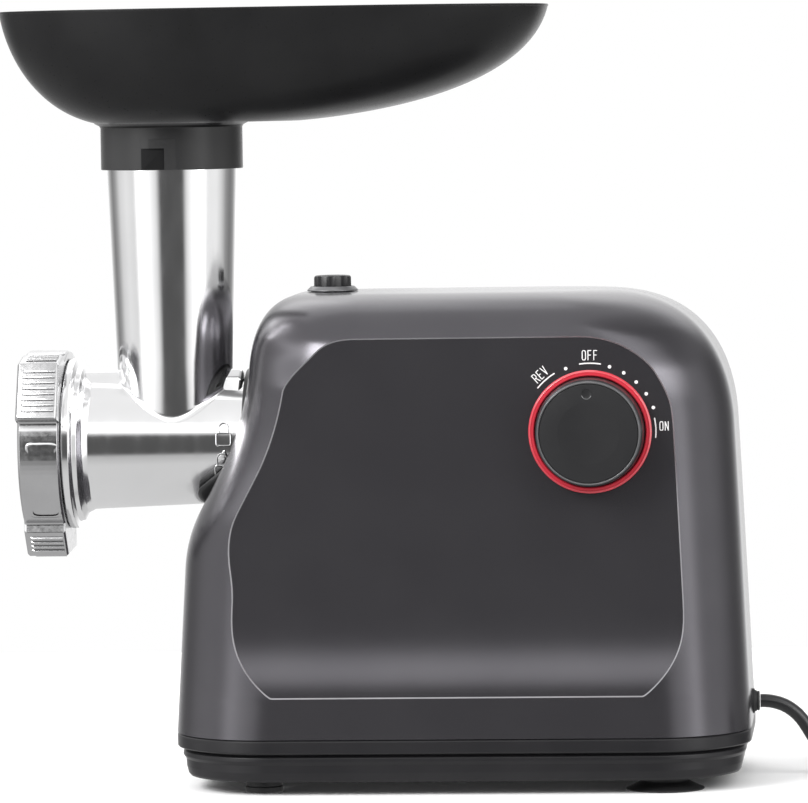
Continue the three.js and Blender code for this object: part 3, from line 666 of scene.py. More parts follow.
def housing_levels():
    top = panel_top()
    turn = asin((top - (HOUSING_TOP - TOP_ROUND)) / TOP_ROUND)
    shoulder = [HOUSING_TOP - TOP_ROUND + TOP_ROUND * sin(a) for a in steps(turn, pi / 2, 26)]
    lower = [PANEL_LOW + LOWER_FLARE * t * t for t in steps(0, 1, 10)]
    upper = [top - UPPER_FLARE * t * t for t in steps(1, 0, 18)]
    return (
        steps(HOUSING_BOTTOM, PANEL_LOW, 6)[:-1] + lower[:-1]
        + steps(PANEL_LOW + LOWER_FLARE, PANEL_FLARE, 18)[:-1]
        + steps(PANEL_FLARE, top - UPPER_FLARE, 44)[:-1] + upper[:-1] + shoulder
    )


def make_shell(name, side, node):
    """One shell with its side panel, whose edge is creased. side is -1 for the dial's side."""
    levels = housing_levels()
    top = panel_top()
    rings = [half_ring(z, side) for z in levels]
    count = len(rings[0])
    points = [p for ring in rings for p in ring]
    faces, panel = [], []
    crease = count // 2 - 1
    for r in range(len(rings) - 1):
        for i in range(count - 1):
            a = r * count + i
            if i == crease and PANEL_LOW <= (levels[r] + levels[r + 1]) / 2 <= top:
                panel.append(len(faces))
            faces.append([a, a + 1, a + count + 1, a + count])
    last = (len(rings) - 1) * count
    faces.append([last + i for i in range(count)])

    made = build(name, (points, faces))
    work = bmesh.new()
    work.from_mesh(made.data)
    work.faces.ensure_lookup_table()
    if work.faces[panel[len(panel) // 2]].normal.y * side < 0:
        bmesh.ops.reverse_faces(work, faces=work.faces)
    lip = bmesh.ops.inset_region(
        work, faces=[work.faces[i] for i in panel], thickness=LIP * MM, depth=-LIP * MM,
        use_even_offset=True,
    )
    # The chamfer takes the lighter grey, a painted highlight line round the panel.
    for face in lip["faces"]:
        face.material_index = 1
    work.to_mesh(made.data)
    work.free()
    for look in (SHELL, SHELL_EDGE_HIGHLIGHT):
        made.data.materials.append(look)

    thick = made.modifiers.new("wall", "SOLIDIFY")
    thick.thickness = (WALL - LIP) * MM
    thick.offset = -1
    settle(made)
    carve(
        made,
        rod("x", MOUTH_R, *MOUTH_CUT, (0, 0, AXIS_Z), 128),
        rod("z", BUTTON_HOLE_R, HOUSING_TOP - 10, HOUSING_TOP + 10, (BUTTON_X, 0, 0)),
        rod("x", GLAND_HOLE_R, *GLAND_CUT, (0, 0, GLAND_Z)),
    )
    if side < 0:
        carve(made, rod("y", DIAL_HOLE_R, *DIAL_CUT, (DIAL_X, 0, DIAL_Z)))
    show(made, SHELL, "housing", "shell_grey", node, crease=20)


make_shell("shell_left", -1, "housing_left_shell")
make_shell("shell_right", 1, "housing_right_shell")


# ---------- base and feet ----------
def base_ring(inset, height):
    near = half_ring(HOUSING_BOTTOM, -1, inset, height)
    far = half_ring(HOUSING_BOTTOM, 1, inset, height)
    return near + far[::-1]


SCREW_X, SCREW_Y = (-40, 112), (-36, 36)
SCREW_HOLE_R, SCREW_HOLE_DEEP = 4, 12


def make_base():
    outside = rounded([
        (4.9, 5.5), (4.2, 6.4, 0.8), (3.5, 9.2), (3.3, 12.2, 0.3), (2.2, 13.6, 1.0), (2.3, 15.2, 0.8),
        (3.6, 16.3, 0.3), (3.4, 16.75, 0.2), (0.5, 16.9, 0.3), (0.05, 17.4, 0.3), (0.02, 21.6, 0.2),
        (0.5, 22.2),
    ], 0.4)
    inside = [(6.5, 22.2), (6.5, 14), (9, 8.5)]
    made = build("base", lofted([base_ring(inset, height) for inset, height in outside + inside]))
    carve(made, *[
        rod("z", SCREW_HOLE_R, 0, SCREW_HOLE_DEEP, (x, y, 0), 40) for x in SCREW_X for y in SCREW_Y
    ])
    show(made, BASE, "housing", "base_grey", "base_tray", crease=24)


FOOT_Y = 48
FRONT_FOOT_X, REAR_FOOT_X = -42.8, 115
REAR_FOOT_IN = 2  # the rear feet stand this much closer to the middle


def make_feet():
    top = high("front_foot_left", "z")
    pad = rounded([(0, 0), (0, 7.45), (2.2, 7.5), (2.5, 7.1), (top, 7.1), (top, 0)], 0.6)
    cup = rounded([
        (2.4, 0), (1.9, 8), (0.5, 13.4), (0, 14.0, 0.2), (0, 15.4, 0.2), (0.5, 15.45), (2.2, 11.5, 2),
        (3.4, 9.2, 1), (top, 9.2), (top, 0),
    ], 0.3)
    for side, out in (("left", -1), ("right", 1)):
        foot = turned("z", pad, (FRONT_FOOT_X, out * FOOT_Y, 0), 64)
        piece(f"pad_front_{side}", foot, RUBBER, "housing", "rubber", f"front_foot_{side}")
        foot = turned("z", cup, (REAR_FOOT_X, out * (FOOT_Y - REAR_FOOT_IN), 0), 72)
        piece(f"cup_rear_{side}", foot, RUBBER, "housing", "rubber", f"rear_foot_{side}")


make_base()
make_feet()


# ---------- food tray ----------
TUBE_X = -81
TRAY_FLOOR = 262.6
TRAY_WALL = 2.4
TRAY_LIP = 1.6
COLLAR_R = 28.4
COLLAR_BORE = 26.8
POCKETS = [  # in the collar: (from and to along x, their floor's distance from its axis, height)
    (-12.3, 4.9, COLLAR_R - 0.55, 12.4),
    (-9.3, 0.3, COLLAR_BORE + 0.15, 8.6),
]
DRAIN_R = 22.6
SQUARENESS = 2.5
TRAY_SIDES = 160

tray_front = rising([(-104, TRAY_FLOOR), (-128, 264), (-145, 284), (-148.8, TRAY_RIM)])
tray_rear = rising([(-50, TRAY_FLOOR), (0, 263.5), (63, 275), (70.5, TRAY_RIM)])
tray_half = rising([(28, TRAY_FLOOR), (50, 263.5), (62, 280), (64, TRAY_RIM)])


def tray_ring(z, inset, height):
    front, rear = tray_front(z) + inset, tray_rear(z) - inset
    across, along, wide = (front + rear) / 2, (rear - front) / 2, tray_half(z) - inset
    around = [squared(a, SQUARENESS) for a in all_round(TRAY_SIDES)]
    return [(across + along * c, wide * s, height) for c, s in around]


def make_tray():
    """The tray with its collar, which has a shallow square pocket inside a wider one."""
    depth = TRAY_RIM - TRAY_FLOOR
    rising_levels = [TRAY_FLOOR + depth * t * t for t in steps(0.15, 0.99, 44)]
    falling_levels = [TRAY_FLOOR + depth * t * t for t in steps(0.965, 0.0, 44)]
    lip = rounded([
        (0, TRAY_RIM - 0.9), (0, TRAY_RIM), (TRAY_LIP, TRAY_RIM), (TRAY_LIP, TRAY_RIM - 0.9),
    ], 0.6)
    under, inside_floor, seat = TRAY_FLOOR + 0.8, TRAY_FLOOR + TRAY_WALL, TUBE_TOP + 0.3
    drain = rounded([
        (inside_floor, DRAIN_R + 1.2), (inside_floor, DRAIN_R), (seat, DRAIN_R), (seat, COLLAR_BORE),
        (COLLAR_LOW, COLLAR_BORE), (COLLAR_LOW, COLLAR_R), (under - 1.8, COLLAR_R),
        (under - 1.0, COLLAR_R + 0.5), (under, COLLAR_R + 2.5),
    ], 0.4)
    made = build("tray", lofted(
        [tray_ring(z, 0, z) for z in rising_levels]
        + [tray_ring(TRAY_RIM, inset, height) for inset, height in lip]
        + [tray_ring(z, TRAY_LIP, z + TRAY_WALL) for z in falling_levels]
        + [level_ring(TUBE_X, radius, height, TRAY_SIDES) for height, radius in drain],
        closed=True,
    ))
    carve(made, *[
        block((TUBE_X + x0, TUBE_X + x1), (-40, -floor), (COLLAR_LOW - 4, COLLAR_LOW + tall))
        for x0, x1, floor, tall in POCKETS
    ])
    # The collar's outer wall takes the lighter black as painted light; the inner pocket's floor keeps the
    # tray's darker black as painted shade.
    for look in (TRAY, COLLAR_LIT):
        made.data.materials.append(look)
    for face in made.data.polygons:
        out = hypot(face.center.x / MM - TUBE_X, face.center.y / MM - MID_Y)
        if face.center.z / MM < TRAY_FLOOR and COLLAR_R - 0.8 < out < COLLAR_R + 0.1:
            face.material_index = 1
    made.visible_glossy = False  # the studio keeps the tray's reflection off the metal below it
    show(made, TRAY, "food_tray", "tray_black", "food_tray", crease=35)


make_tray()


# ---------- grinding head ----------
BORE_R = 21.6
PLATE_SEAT = -131.7
SHANK_R = 7.3  # of the opening at its rear, for the auger
BARREL = [
    (HEAD_FRONT, 33), (-123.4, 33), (-123.4, 34.2, 0.6), (-120.4, 34.2, 0.7), (-119.6, 31.4, 0.4),
    (-117.6, 30.8, 0.8), (-116, 27.8, 1.4), (-113.6, 26.6, 2), (-70, 24.9, 60), (-50, 24.3),
    (HEAD_REAR, 24.2),
]
BARREL_TAPER = [corner[:2] for corner in BARREL[-4:]]
FILLET_RISE = (3.3, 1.6)  # up the tube, at the barrel's top and at its sides
FILLET_REACH = (1.3, 1.8)  # out over the barrel
SPINE_FRONT, SPINE_REAR = -116.5, -53.3
SPINE_TOP = 29.4
SPINE_HALF = [(12.4, 21.0), (8.8, 26.2, 6), (4.0, SPINE_TOP, 5)]
HEAD_SIDES = 180
TUBE_TAPER = [(AXIS_Z, 22.6), (163, 23.2), (245, 26.05), (TUBE_TOP, 26.4)]


def radius_at(profile, along):
    """The radius at a place on a straight-sided profile of (along, radius)."""
    for (a, ra), (b, rb) in zip(profile, profile[1:]):
        if a <= along <= b and b > a:
            return ra + (rb - ra) * (along - a) / (b - a)
    return profile[-1][1]


def tube_radius(z):
    return radius_at(TUBE_TAPER, z)


def saddle(angle, share):
    """A point of the fillet between feed tube and barrel: share 0 is on the tube, 1 on the barrel."""
    out = tube_radius(AXIS_Z + 18)
    x, y = TUBE_X + out * cos(angle), out * sin(angle)
    barrel = radius_at(BARREL_TAPER, x)
    lift = sqrt(barrel ** 2 - y ** 2)
    sideways = sin(angle) ** 2
    rise = FILLET_RISE[0] + (FILLET_RISE[1] - FILLET_RISE[0]) * sideways
    reach = FILLET_REACH[0] + (FILLET_REACH[1] - FILLET_REACH[0]) * sideways
    above = AXIS_Z + lift + rise
    wall = tube_radius(above)
    top = Vector((TUBE_X + wall * cos(angle), wall * sin(angle), above))
    corner = Vector((x, y, AXIS_Z + lift))
    round_it = asin(y / barrel)
    lead, turn = cos(angle), sin(angle) * cos(round_it)
    size = hypot(lead, turn)
    onward = round_it + reach * turn / size / barrel
    foot = Vector((
        x + reach * lead / size,
        (barrel + 0.03) * sin(onward),
        AXIS_Z + (barrel + 0.03) * cos(onward),
    ))
    return tuple(top.lerp(corner, share).lerp(corner.lerp(foot, share), share))


def make_spine():
    """The raised rib along the top of the barrel."""
    half = [(-y, z, *softness) for y, z, *softness in SPINE_HALF]
    section = rounded(half + SPINE_HALF[::-1], 1, 6)
    rings = []
    for x, drop in ((SPINE_FRONT, 0), (SPINE_REAR - 1.6, 0), (SPINE_REAR - 0.5, 0.5), (SPINE_REAR, 1.6)):
        shrink = (SPINE_TOP - drop) / SPINE_TOP
        rings.append([(x, y * shrink, AXIS_Z + z * shrink) for y, z in section])
    return build("spine", lofted(rings))


def make_head():
    inner = [
        (HEAD_REAR, SHANK_R), (-30, SHANK_R), (-30, BORE_R), (PLATE_SEAT, BORE_R), (PLATE_SEAT, 27.2),
        (HEAD_FRONT, 27.2),
    ]
    line = rounded(BARREL + inner, 0.3, closed=True)
    barrel = build("head", turned("x", line, (0, 0, AXIS_Z), HEAD_SIDES))
    opening = [(AXIS_Z + 4, 0), (AXIS_Z + 4, 19), (163, 20), (190, 20.9), (190, 0)]
    carve(barrel, turned("z", opening, (TUBE_X, 0, 0)))

    skirt = [[saddle(a, share) for a in all_round(HEAD_SIDES)] for share in steps(1, 0, 16)]
    walls = [(z, tube_radius(z)) for z in steps(168, TUBE_TOP - 0.6, 12)]
    walls += [(TUBE_TOP, 25.9), (TUBE_TOP, 23.8), (TUBE_TOP - 0.5, 23.3), (163, 20), (AXIS_Z + 15.5, 19.6)]
    rings = [level_ring(TUBE_X, radius, z, HEAD_SIDES) for z, radius in walls]
    join(barrel, build("feed_tube", lofted(skirt + rings, caps=False)), make_spine())
    show(barrel, POLISHED, "head", "polished_aluminium", "head_casting", "feed_tube", crease=40)


def join(first, *others):
    """Adds the other objects' meshes to the first one's."""
    work = bmesh.new()
    for part in (first, *others):
        work.from_mesh(part.data)
    work.to_mesh(first.data)
    work.free()
    for part in others:
        bpy.data.objects.remove(part)


make_head()


# ---------- ring nut ----------
NUT_R = 37.5
NUT_TIP_ANGLE = 47  # of the first grip, from the -Y side towards the top
GRIP = [(18, NUT_R), (16, 41), (0, 46.3), (-31, 43.9), (-30, NUT_R)]
RIB_PITCH = 2.4
RIB_WIDE, RIB_HIGH, RIB_ROOT = 1.3, 0.75, -0.2
NUT_BORE, NUT_MOUTH = 33.4, 24.5  # over the flange, and in front of the plate
NUT_TIPS = [NUT_TIP_ANGLE - 120 * k for k in range(3)]


def nut_point(degrees, radius):
    a = radians(degrees)
    return Vector((-radius * cos(a), radius * sin(a)))


def nut_outline():
    corners = []
    for tip in NUT_TIPS:
        for turn, radius in GRIP:
            softness = 1.6 if radius == NUT_R else 0.9
            corners.append((*nut_point(tip + turn, radius), softness))
        corners += [(*nut_point(tip - a, NUT_R), 12) for a in range(36, 102, 3)]
    return rounded(corners, 0.8, 5, closed=True)


def nut_ring(outline, x, shrink):
    scaled = [(1 - shrink / hypot(y, z), y, z) for y, z in outline]
    return [(x, y * scale, AXIS_Z + z * scale) for scale, y, z in scaled]


def round_ring(outline, x, radius):
    angles = [atan2(z, y) for y, z in outline]
    return [(x, radius * cos(a), AXIS_Z + radius * sin(a)) for a in angles]


def rib(centre, along):
    """A ridge over the nut's length, on a grip's face that runs along that direction."""
    outward = Vector((along.y, -along.x))
    if outward.dot(centre) < 0:
        outward = -outward
    x0, x1 = NUT_FRONT + 2.3, NUT_BACK - 1.3
    foot, top = RIB_WIDE / 2, RIB_WIDE / 2 * 0.7
    section = rounded([(-foot, RIB_ROOT), (-top, RIB_HIGH), (top, RIB_HIGH), (foot, RIB_ROOT)], 0.3)
    rings = []
    for x, size in ((x0, 0.05), (x0 + 0.5, 0.8), (x0 + 1.0, 1), (x1, 1)):
        spots = [centre + along * a + outward * (b * size) for a, b in section]
        rings.append([(x, spot.x, AXIS_Z + spot.y) for spot in spots])
    return lofted(rings)


def grip_ribs():
    shapes = []
    for tip in NUT_TIPS:
        corners = [nut_point(tip + turn, radius) for turn, radius in GRIP]
        for start, end, spare in ((corners[1], corners[2], 1.3), (corners[2], corners[3], 1.5)):
            count = int(((end - start).length - 2 * spare) / RIB_PITCH)
            along = (end - start).normalized()
            first = (start + end) / 2 - along * (RIB_PITCH * (count - 1) / 2)
            shapes += [rib(first + along * RIB_PITCH * i, along) for i in range(count)]
    return shapes


def nut_pads():
    """A slightly raised rim on each round stretch between two grips, by x and degrees from the tip."""
    x0, x1, first, last = -137, NUT_BACK - 0.6, -95, -43
    edge = rounded([(x0, first), (x0, last), (x1, last), (x1, first)], 3, 6, closed=True)
    shapes = []
    for tip in NUT_TIPS:
        rings = []
        for grow, rise in ((0.0, -0.4), (0.0, 0.25), (0.25, 0.4), (1.2, 0.4)):
            ring = []
            for x, degrees in edge:
                inward = grow if x < (x0 + x1) / 2 else -grow
                away = grow * 1.5 if degrees < (first + last) / 2 else -grow * 1.5
                y, z = nut_point(tip + degrees + away, NUT_R + rise)
                ring.append((x + inward, y, AXIS_Z + z))
            rings.append(ring)
        shapes.append(lofted(rings, caps=False))
    return shapes


def make_nut():
    outline = nut_outline()
    outside = rounded([
        (NUT_FRONT, 3), (NUT_FRONT, 0.9), (NUT_FRONT + 0.9, 0), (NUT_BACK - 0.8, 0), (NUT_BACK, 0.7),
        (NUT_BACK, 3),
    ], 0.4)
    inside = rounded([
        (NUT_BACK, NUT_BORE + 0.5), (NUT_BACK - 0.4, NUT_BORE), (-137.3, NUT_BORE), (-137.3, NUT_MOUTH),
        (NUT_FRONT + 0.8, NUT_MOUTH), (NUT_FRONT, NUT_MOUTH + 1.1), (NUT_FRONT, 28),
    ], 0.3)
    rings = [nut_ring(outline, x, shrink) for x, shrink in outside]
    rings += [round_ring(outline, x, radius) for x, radius in inside]
    shape = together(lofted(rings, closed=True), *grip_ribs(), *nut_pads())
    piece("nut", shape, NUT, "ring_nut", "polished_aluminium", "ring_nut", crease=32)


make_nut()


# ---------- grinding plate, knife and auger ----------
PLATE_HOLES = [(9.8, 6), (16.3, 10), (22.6, 14)]  # (radius of the ring, how many)
HOLE_R = 2.3
KNIFE_HOLE = 4.3  # half its square hole
SQUARE_END = 3.9  # half the auger's square end


def make_plate():
    face, back = span("grinding_plate", "x")
    disc = rounded([(face, 4.4), (face, 26.8), (back, 26.8), (back, 4.4)], 0.4, closed=True)
    made = build("plate", turned("x", disc, (0, 0, AXIS_Z), 120))
    holes = []
    for radius, count in PLATE_HOLES:
        for a in all_round(count):
            centre = (0, radius * cos(a), AXIS_Z + radius * sin(a))
            holes.append(rod("x", HOLE_R, face - 2, back + 2, centre, 24))
    carve(made, together(*holes))
    show(made, STEEL, "plate", "steel", "grinding_plate")


def make_knife():
    front, rear = span("cutting_knife", "x")
    hub = turned("x", rounded([(front, 0), (front, 8.3), (rear, 8.3), (rear, 0)], 0.6), (0, 0, AXIS_Z), 64)
    blades = []
    for turn in all_round(4):
        rings = []
        for x, slope in ((front, 0.0), (front + 0.4, 0.0), (rear - 1.6, 1.1), (rear - 0.7, 1.9)):
            flat = rounded(
                [(-3.2, 5), (3.6 - slope, 5), (2.2 - slope, 20.6), (-3.2, 20.7)], 0.5, 3, closed=True
            )
            rings.append([
                (x, a * cos(turn) - r * sin(turn), AXIS_Z + a * sin(turn) + r * cos(turn))
                for a, r in flat
            ])
        blades.append(lofted(rings))
    made = build("knife", together(hub, *blades))
    square = (AXIS_Z - KNIFE_HOLE, AXIS_Z + KNIFE_HOLE)
    carve(made, block((front - 3, rear + 3), (-KNIFE_HOLE, KNIFE_HOLE), square))
    show(made, STEEL, "auger", "steel", "cutting_knife")


AUGER_TURNS = 4
AUGER_STEPS = 48  # sections a turn
FLIGHT_R = 21
FLIGHT_FROM, FLIGHT_TO = -124.6, -36.6


def make_auger():
    centre = (0, 0, AXIS_Z)
    first, last = span("auger", "x")
    shaft = turned("x", rounded([
        (first, 0), (first, 3.9, 0.6), (-131.9, 3.9), (-127.4, 4.1), (-127.4, 8.4), (-80, 8.2),
        (-33, 8.4, 1), (-33, 6.7), (-21, 6.7, 0.6), (-21, 5.0), (last, 5.0), (last, 0),
    ], 0.5), centre, 72)
    hexagon = lofted([
        [spun("x", x, radius, a, centre) for a in all_round(6)]
        for x, radius in ((-21.2, 5.5), (last - 0.8, 5.5), (last, 4.9))
    ])
    square = block(
        (-131.8, -126), (-SQUARE_END, SQUARE_END), (AXIS_Z - SQUARE_END, AXIS_Z + SQUARE_END)
    )
    section = rounded(
        [(5, -2.5), (12, -1.5, 6), (FLIGHT_R, -1.1), (FLIGHT_R, 1.1), (12, 1.5, 6), (5, 2.5)], 0.6, 3
    )
    rings = []
    for share in steps(0, 1, AUGER_TURNS * AUGER_STEPS):
        a = 2 * pi * AUGER_TURNS * share
        x = FLIGHT_FROM + (FLIGHT_TO - FLIGHT_FROM) * share
        rings.append([spun("x", x + dx, r, a, centre) for r, dx in section])
    shape = together(shaft, hexagon, square, lofted(rings))
    piece("auger_screw", shape, ALUMINIUM, "auger", "plain_aluminium", "auger", crease=40)


make_plate()
make_knife()
make_auger()


# ---------- lock lever and its marks ----------
LEVER_INNER, LEVER_OUTER = 25.7, 29.15
LEVER_TIP, LEVER_ROOT = Vector((-66.2, -19.8)), Vector((-50, -7))
LEVER_R = 4.3
LOCK_RING = (-51.9, -47.45)  # from and to along the head


def on_barrel(x, up, radius):
    """The place on the near side of a cylinder round the head's axis, up above the axis."""
    up = clamp(up, -radius, radius)
    return (x, -sqrt(radius ** 2 - up ** 2), AXIS_Z + up)


def make_lever():
    """A ring with a rounded paddle that lies round the barrel's near side."""
    axis = (LEVER_ROOT - LEVER_TIP).normalized()
    length = (LEVER_ROOT - LEVER_TIP).length
    across = Vector((-axis.y, axis.x))

    def paddle(shrink):
        """One side from the tip to the root, and the other side back."""
        radius = LEVER_R - shrink
        quarter = [(radius * sin(a), radius * cos(a)) for a in steps(0, pi / 2, 8)]
        stations = [(-along, wide) for along, wide in quarter[::-1]]
        stations += [(along, radius) for along in steps(0, length, 12)[1:]]
        stations += [(length + along, wide) for along, wide in quarter[1:]]
        near = [LEVER_TIP + axis * along + across * wide for along, wide in stations]
        far = [LEVER_TIP + axis * along - across * wide for along, wide in stations]
        return [tuple(p) for p in near + far[::-1]]

    shells = [  # (how far in from the outline, radius round the head's axis)
        (3.4, LEVER_INNER), (0.4, LEVER_INNER), (0.05, LEVER_INNER + 0.4), (0.0, LEVER_OUTER - 1.3),
        (0.35, LEVER_OUTER - 0.5), (1.0, LEVER_OUTER - 0.1), (2.0, LEVER_OUTER),
        (3.4, LEVER_OUTER - 0.12),
    ]
    rings = [[on_barrel(x, up, radius) for x, up in paddle(shrink)] for shrink, radius in shells]
    points, faces = lofted(rings, caps=False)
    count = len(rings[0])
    for first in (0, (len(rings) - 1) * count):
        faces += [
            [first + i, first + i + 1, first + count - 2 - i, first + count - 1 - i]
            for i in range(count // 2 - 1)
        ]
    x0, x1 = LOCK_RING
    ring = rounded(
        [(x0, LEVER_INNER), (x0, LEVER_OUTER), (x1, LEVER_OUTER), (x1, LEVER_INNER)], 0.4, closed=True
    )
    shape = together(turned("x", ring, (0, 0, AXIS_Z)), (points, faces))
    piece("lever", shape, BLACK, "lock_ring", "black_plastic", "lock_ring", crease=50)


TOWARDS_VIEWER = Vector((0, -0.9, 0.43))
BEAD_SIDES = 8


def thread(points, radius):
    """A thin round bead along 3-D points."""
    places = [Vector(p) for p in points]
    rings = []
    for i, spot in enumerate(places):
        ahead = places[min(i + 1, len(places) - 1)] - places[max(i - 1, 0)]
        across = ahead.cross(TOWARDS_VIEWER).normalized()
        over = across.cross(ahead).normalized()
        rings.append([
            tuple(spot + across * radius * cos(a) + over * radius * sin(a))
            for a in all_round(BEAD_SIDES)
        ])
    return lofted(rings)


def lock_mark(x, up, open_by):
    """A padlock outline on the barrel; open_by lifts one leg of its shackle out."""
    radius = radius_at(BARREL_TAPER, x) + 0.05
    half, foot, top = 2.9, -4.4, 0.6
    body = rounded([(-half, foot), (half, foot), (half, top), (-half, top)], 1.1, closed=True)
    body.append(body[0])
    bow, lift = 1.9, top + 2 + open_by
    arch = [(-bow, top), (-bow, lift)]
    arch += [(-bow * cos(a), lift + bow * sin(a)) for a in steps(0, pi, 10)][1:]
    arch.append((bow, top + 1.3 * open_by))
    return [
        thread([on_barrel(x + a, up + b, radius) for a, b in line], 0.36)
        for line in (body, arch)
    ]


def make_marks():
    """A closed padlock, an open one and a wedge between them."""
    radius = radius_at(BARREL_TAPER, -60)
    arrow = rounded([(0.4, 2.6), (-2.4, -1.2), (0.2, -2.2), (2.4, -1.4)], 0.5, closed=True)
    wedge = lofted([
        [on_barrel(-59.5 + shrink * a, -4.2 + shrink * b, radius + rise) for a, b in arrow]
        for rise, shrink in ((-0.3, 1), (0.25, 1), (0.4, 0.85))
    ])
    shape = together(*lock_mark(-59.4, 4.2, 0), *lock_mark(-60.2, -8.8, 0.9), wedge)
    piece("lock_marks", shape, POLISHED, "head", "polished_aluminium")


make_lever()
make_marks()


# ---------- release button ----------
CAP_SIDES = 160


def cap_ring(radius, height, groove):
    """A ring of the button's cap with eight grooves round it."""
    found = []
    for a in all_round(CAP_SIDES):
        out = radius - groove * clamp(3 * abs(cos(4 * a)) - 2, 0, 1)
        found.append((BUTTON_X + out * cos(a), out * sin(a), height))
    return found


def make_button():
    bezel_low, bezel_top = span("button_bezel", "z")
    rim = rounded([
        (bezel_low, 7.9), (bezel_low, 10.15), (bezel_low + 0.4, 10.2, 0.2), (bezel_top, 8.7, 0.4),
        (bezel_top, 7.9),
    ], 0.2, closed=True)
    shape = turned("z", rim, (BUTTON_X, 0, 0))
    piece("bezel", shape, TRIM, "housing", "black_plastic", "button_bezel")

    bottom, top = span("release_button", "z")
    cap = lofted([
        cap_ring(radius, height, groove) for radius, height, groove in (
            (2.5, bottom, 0), (2.5, top - 4.9, 0), (7.3, top - 4.9, 0.6), (7.5, top - 4.6, 0.7),
            (7.45, top - 0.9, 0.6), (7.2, top - 0.35, 0.3), (6.7, top - 0.05, 0), (6.2, top, 0),
            (5.4, top - 0.35, 0),
        )
    ])
    piece("button", cap, BLACK, "release_button", "black_plastic", "release_button")


def squash_spring():
    """Gives the spring its own copy of its mesh."""
    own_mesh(frame["nodes"]["release_spring"])


make_button()
squash_spring()


# ---------- dial ----------
RING_OUT, RING_IN = 24, 21.5
DIMPLE_X, DIMPLE_Z = DIAL_X - 0.6, DIAL_Z + 15.2
DIAL_SIDES = 160
LEGEND_R = 26.2
LEGEND_WIDE = 0.35
UNDERLINE_WIDE = 0.5
DOT_WIDE = 1.4
LETTER_WIDTH = 0.78
PAINT, PAINT_STEP = 0.05, 0.002  # the legends' height over the panel, and each stroke's over the last


def make_dial():
    centre = (DIAL_X, 0, DIAL_Z)
    panel = -panel_y(DIAL_Z)
    ring_face = low("dial_ring", "y") - MID_Y
    ring = rounded([
        (panel - 0.1, RING_OUT), (ring_face + 0.75, RING_OUT), (ring_face, RING_OUT - 0.65),
        (ring_face + 0.1, (RING_OUT + RING_IN) / 2, 1.2), (ring_face, RING_IN + 0.5),
        (ring_face + 0.7, RING_IN), (panel - 0.1, RING_IN),
    ], 0.2, closed=True)
    shape = turned("y", ring, centre, DIAL_SIDES)
    piece("ring_trim", shape, RED, "housing", "red_plastic", "dial_ring", crease=50)

    face, skirt = -DIAL_FACE, ring_face + 0.5
    knob = rounded([
        (face + 0.55, 0), (face + 0.25, 12, 8), (face + 0.5, 19.1, 0.3), (face + 1.0, 19.3, 0.2),
        (face + 1.0, 20.1, 0.2), (face + 3.2, 20.8, 0.5), (skirt, 21.3), (skirt, 0),
    ], 0.4)
    made = build("dial_knob", turned("y", knob, centre, DIAL_SIDES))
    dimple = rounded([(face - 2, 0), (face - 2, 2.2), (face + 0.9, 2.0, 0.4), (face + 1.1, 0)], 0.3)
    carve(made, turned("y", dimple, (DIMPLE_X, 0, DIMPLE_Z), 40))
    show(made, KNOB, "dial", "black_plastic", "control_dial", crease=26)

    edge = rounded([
        (face + 0.02, 19.45), (face + 0.02, 19.95), (face + 1.2, 20.4), (face + 1.2, 19.25),
    ], 0.15, closed=True)
    piece("dial_edge", turned("y", edge, centre, DIAL_SIDES), TRIM, "dial", "steel")
    # A grey bead round the dimple's lower half: a painted highlight where light falls on its lower wall.
    highlight_crescent = [
        (DIMPLE_X + 1.9 * cos(a), face + 0.42, DIMPLE_Z + 1.9 * sin(a))
        for a in steps(radians(195), radians(345), 20)
    ]
    piece("dial_dimple_highlight", thread(highlight_crescent, 0.2), TRIM, "dial", "steel")


def ribbon(line, wide):
    """A flat painted stroke on the side panel through (x, z) offsets from the dial's centre."""
    line = [Vector(p) for p in line]
    points, faces = [], []

    def patch(corners):
        paint = PAINT + PAINT_STEP * len(faces)
        faces.append(list(range(len(points), len(points) + len(corners))))
        for corner in corners:
            z = DIAL_Z + corner.y
            points.append((DIAL_X + corner.x, -panel_y(z) + LIP - paint, z))

    for a, b in zip(line, line[1:]):
        along = (b - a).normalized() * wide / 2
        across = Vector((-along.y, along.x))
        patch([a + across, b + across, b - across, a - across])
    for end in line:
        patch([end + Vector((cos(a), sin(a))) * wide / 2 for a in all_round(12)])
    return points, faces


LETTER_BOX = 0.46
STROKES = {  # each letter's strokes, in a box one high
    "R": [
        [(0, 0), (0, 1), (0.3, 1), (0.44, 0.9), (0.44, 0.62), (0.3, 0.5), (0, 0.5)],
        [(0.24, 0.5), (0.48, 0)],
    ],
    "E": [[(0.42, 1), (0, 1), (0, 0), (0.42, 0)], [(0, 0.52), (0.34, 0.52)]],
    "V": [[(0, 1), (0.24, 0), (0.48, 1)]],
    "O": [[
        (0.1, 0), (0.36, 0), (0.46, 0.13), (0.46, 0.87), (0.36, 1), (0.1, 1), (0, 0.87), (0, 0.13), (0.1, 0),
    ]],
    "F": [[(0, 0), (0, 1), (0.42, 1)], [(0, 0.52), (0.34, 0.52)]],
    "N": [[(0, 0), (0, 1), (0.46, 0), (0.46, 1)]],
}
ADVANCE = 0.8


def word(letters, centre, tall, turn):
    """A short function word in plain strokes."""
    wide = ADVANCE * (len(letters) - 1) + LETTER_BOX
    shapes = []
    for i, letter in enumerate(letters):
        for stroke in STROKES[letter]:
            line = []
            for x, z in stroke:
                flat = Vector(((x + ADVANCE * i - wide / 2) * LETTER_WIDTH, z - 0.5)) * tall
                flat.rotate(Matrix.Rotation(turn, 2))
                line.append(Vector(centre) + flat)
            shapes.append(ribbon(line, LEGEND_WIDE))
    return shapes


def arc(radius, middle_angle, half_angle):
    return [
        (radius * cos(radians(a)), radius * sin(radians(a)))
        for a in steps(middle_angle - half_angle, middle_angle + half_angle, 10)
    ]


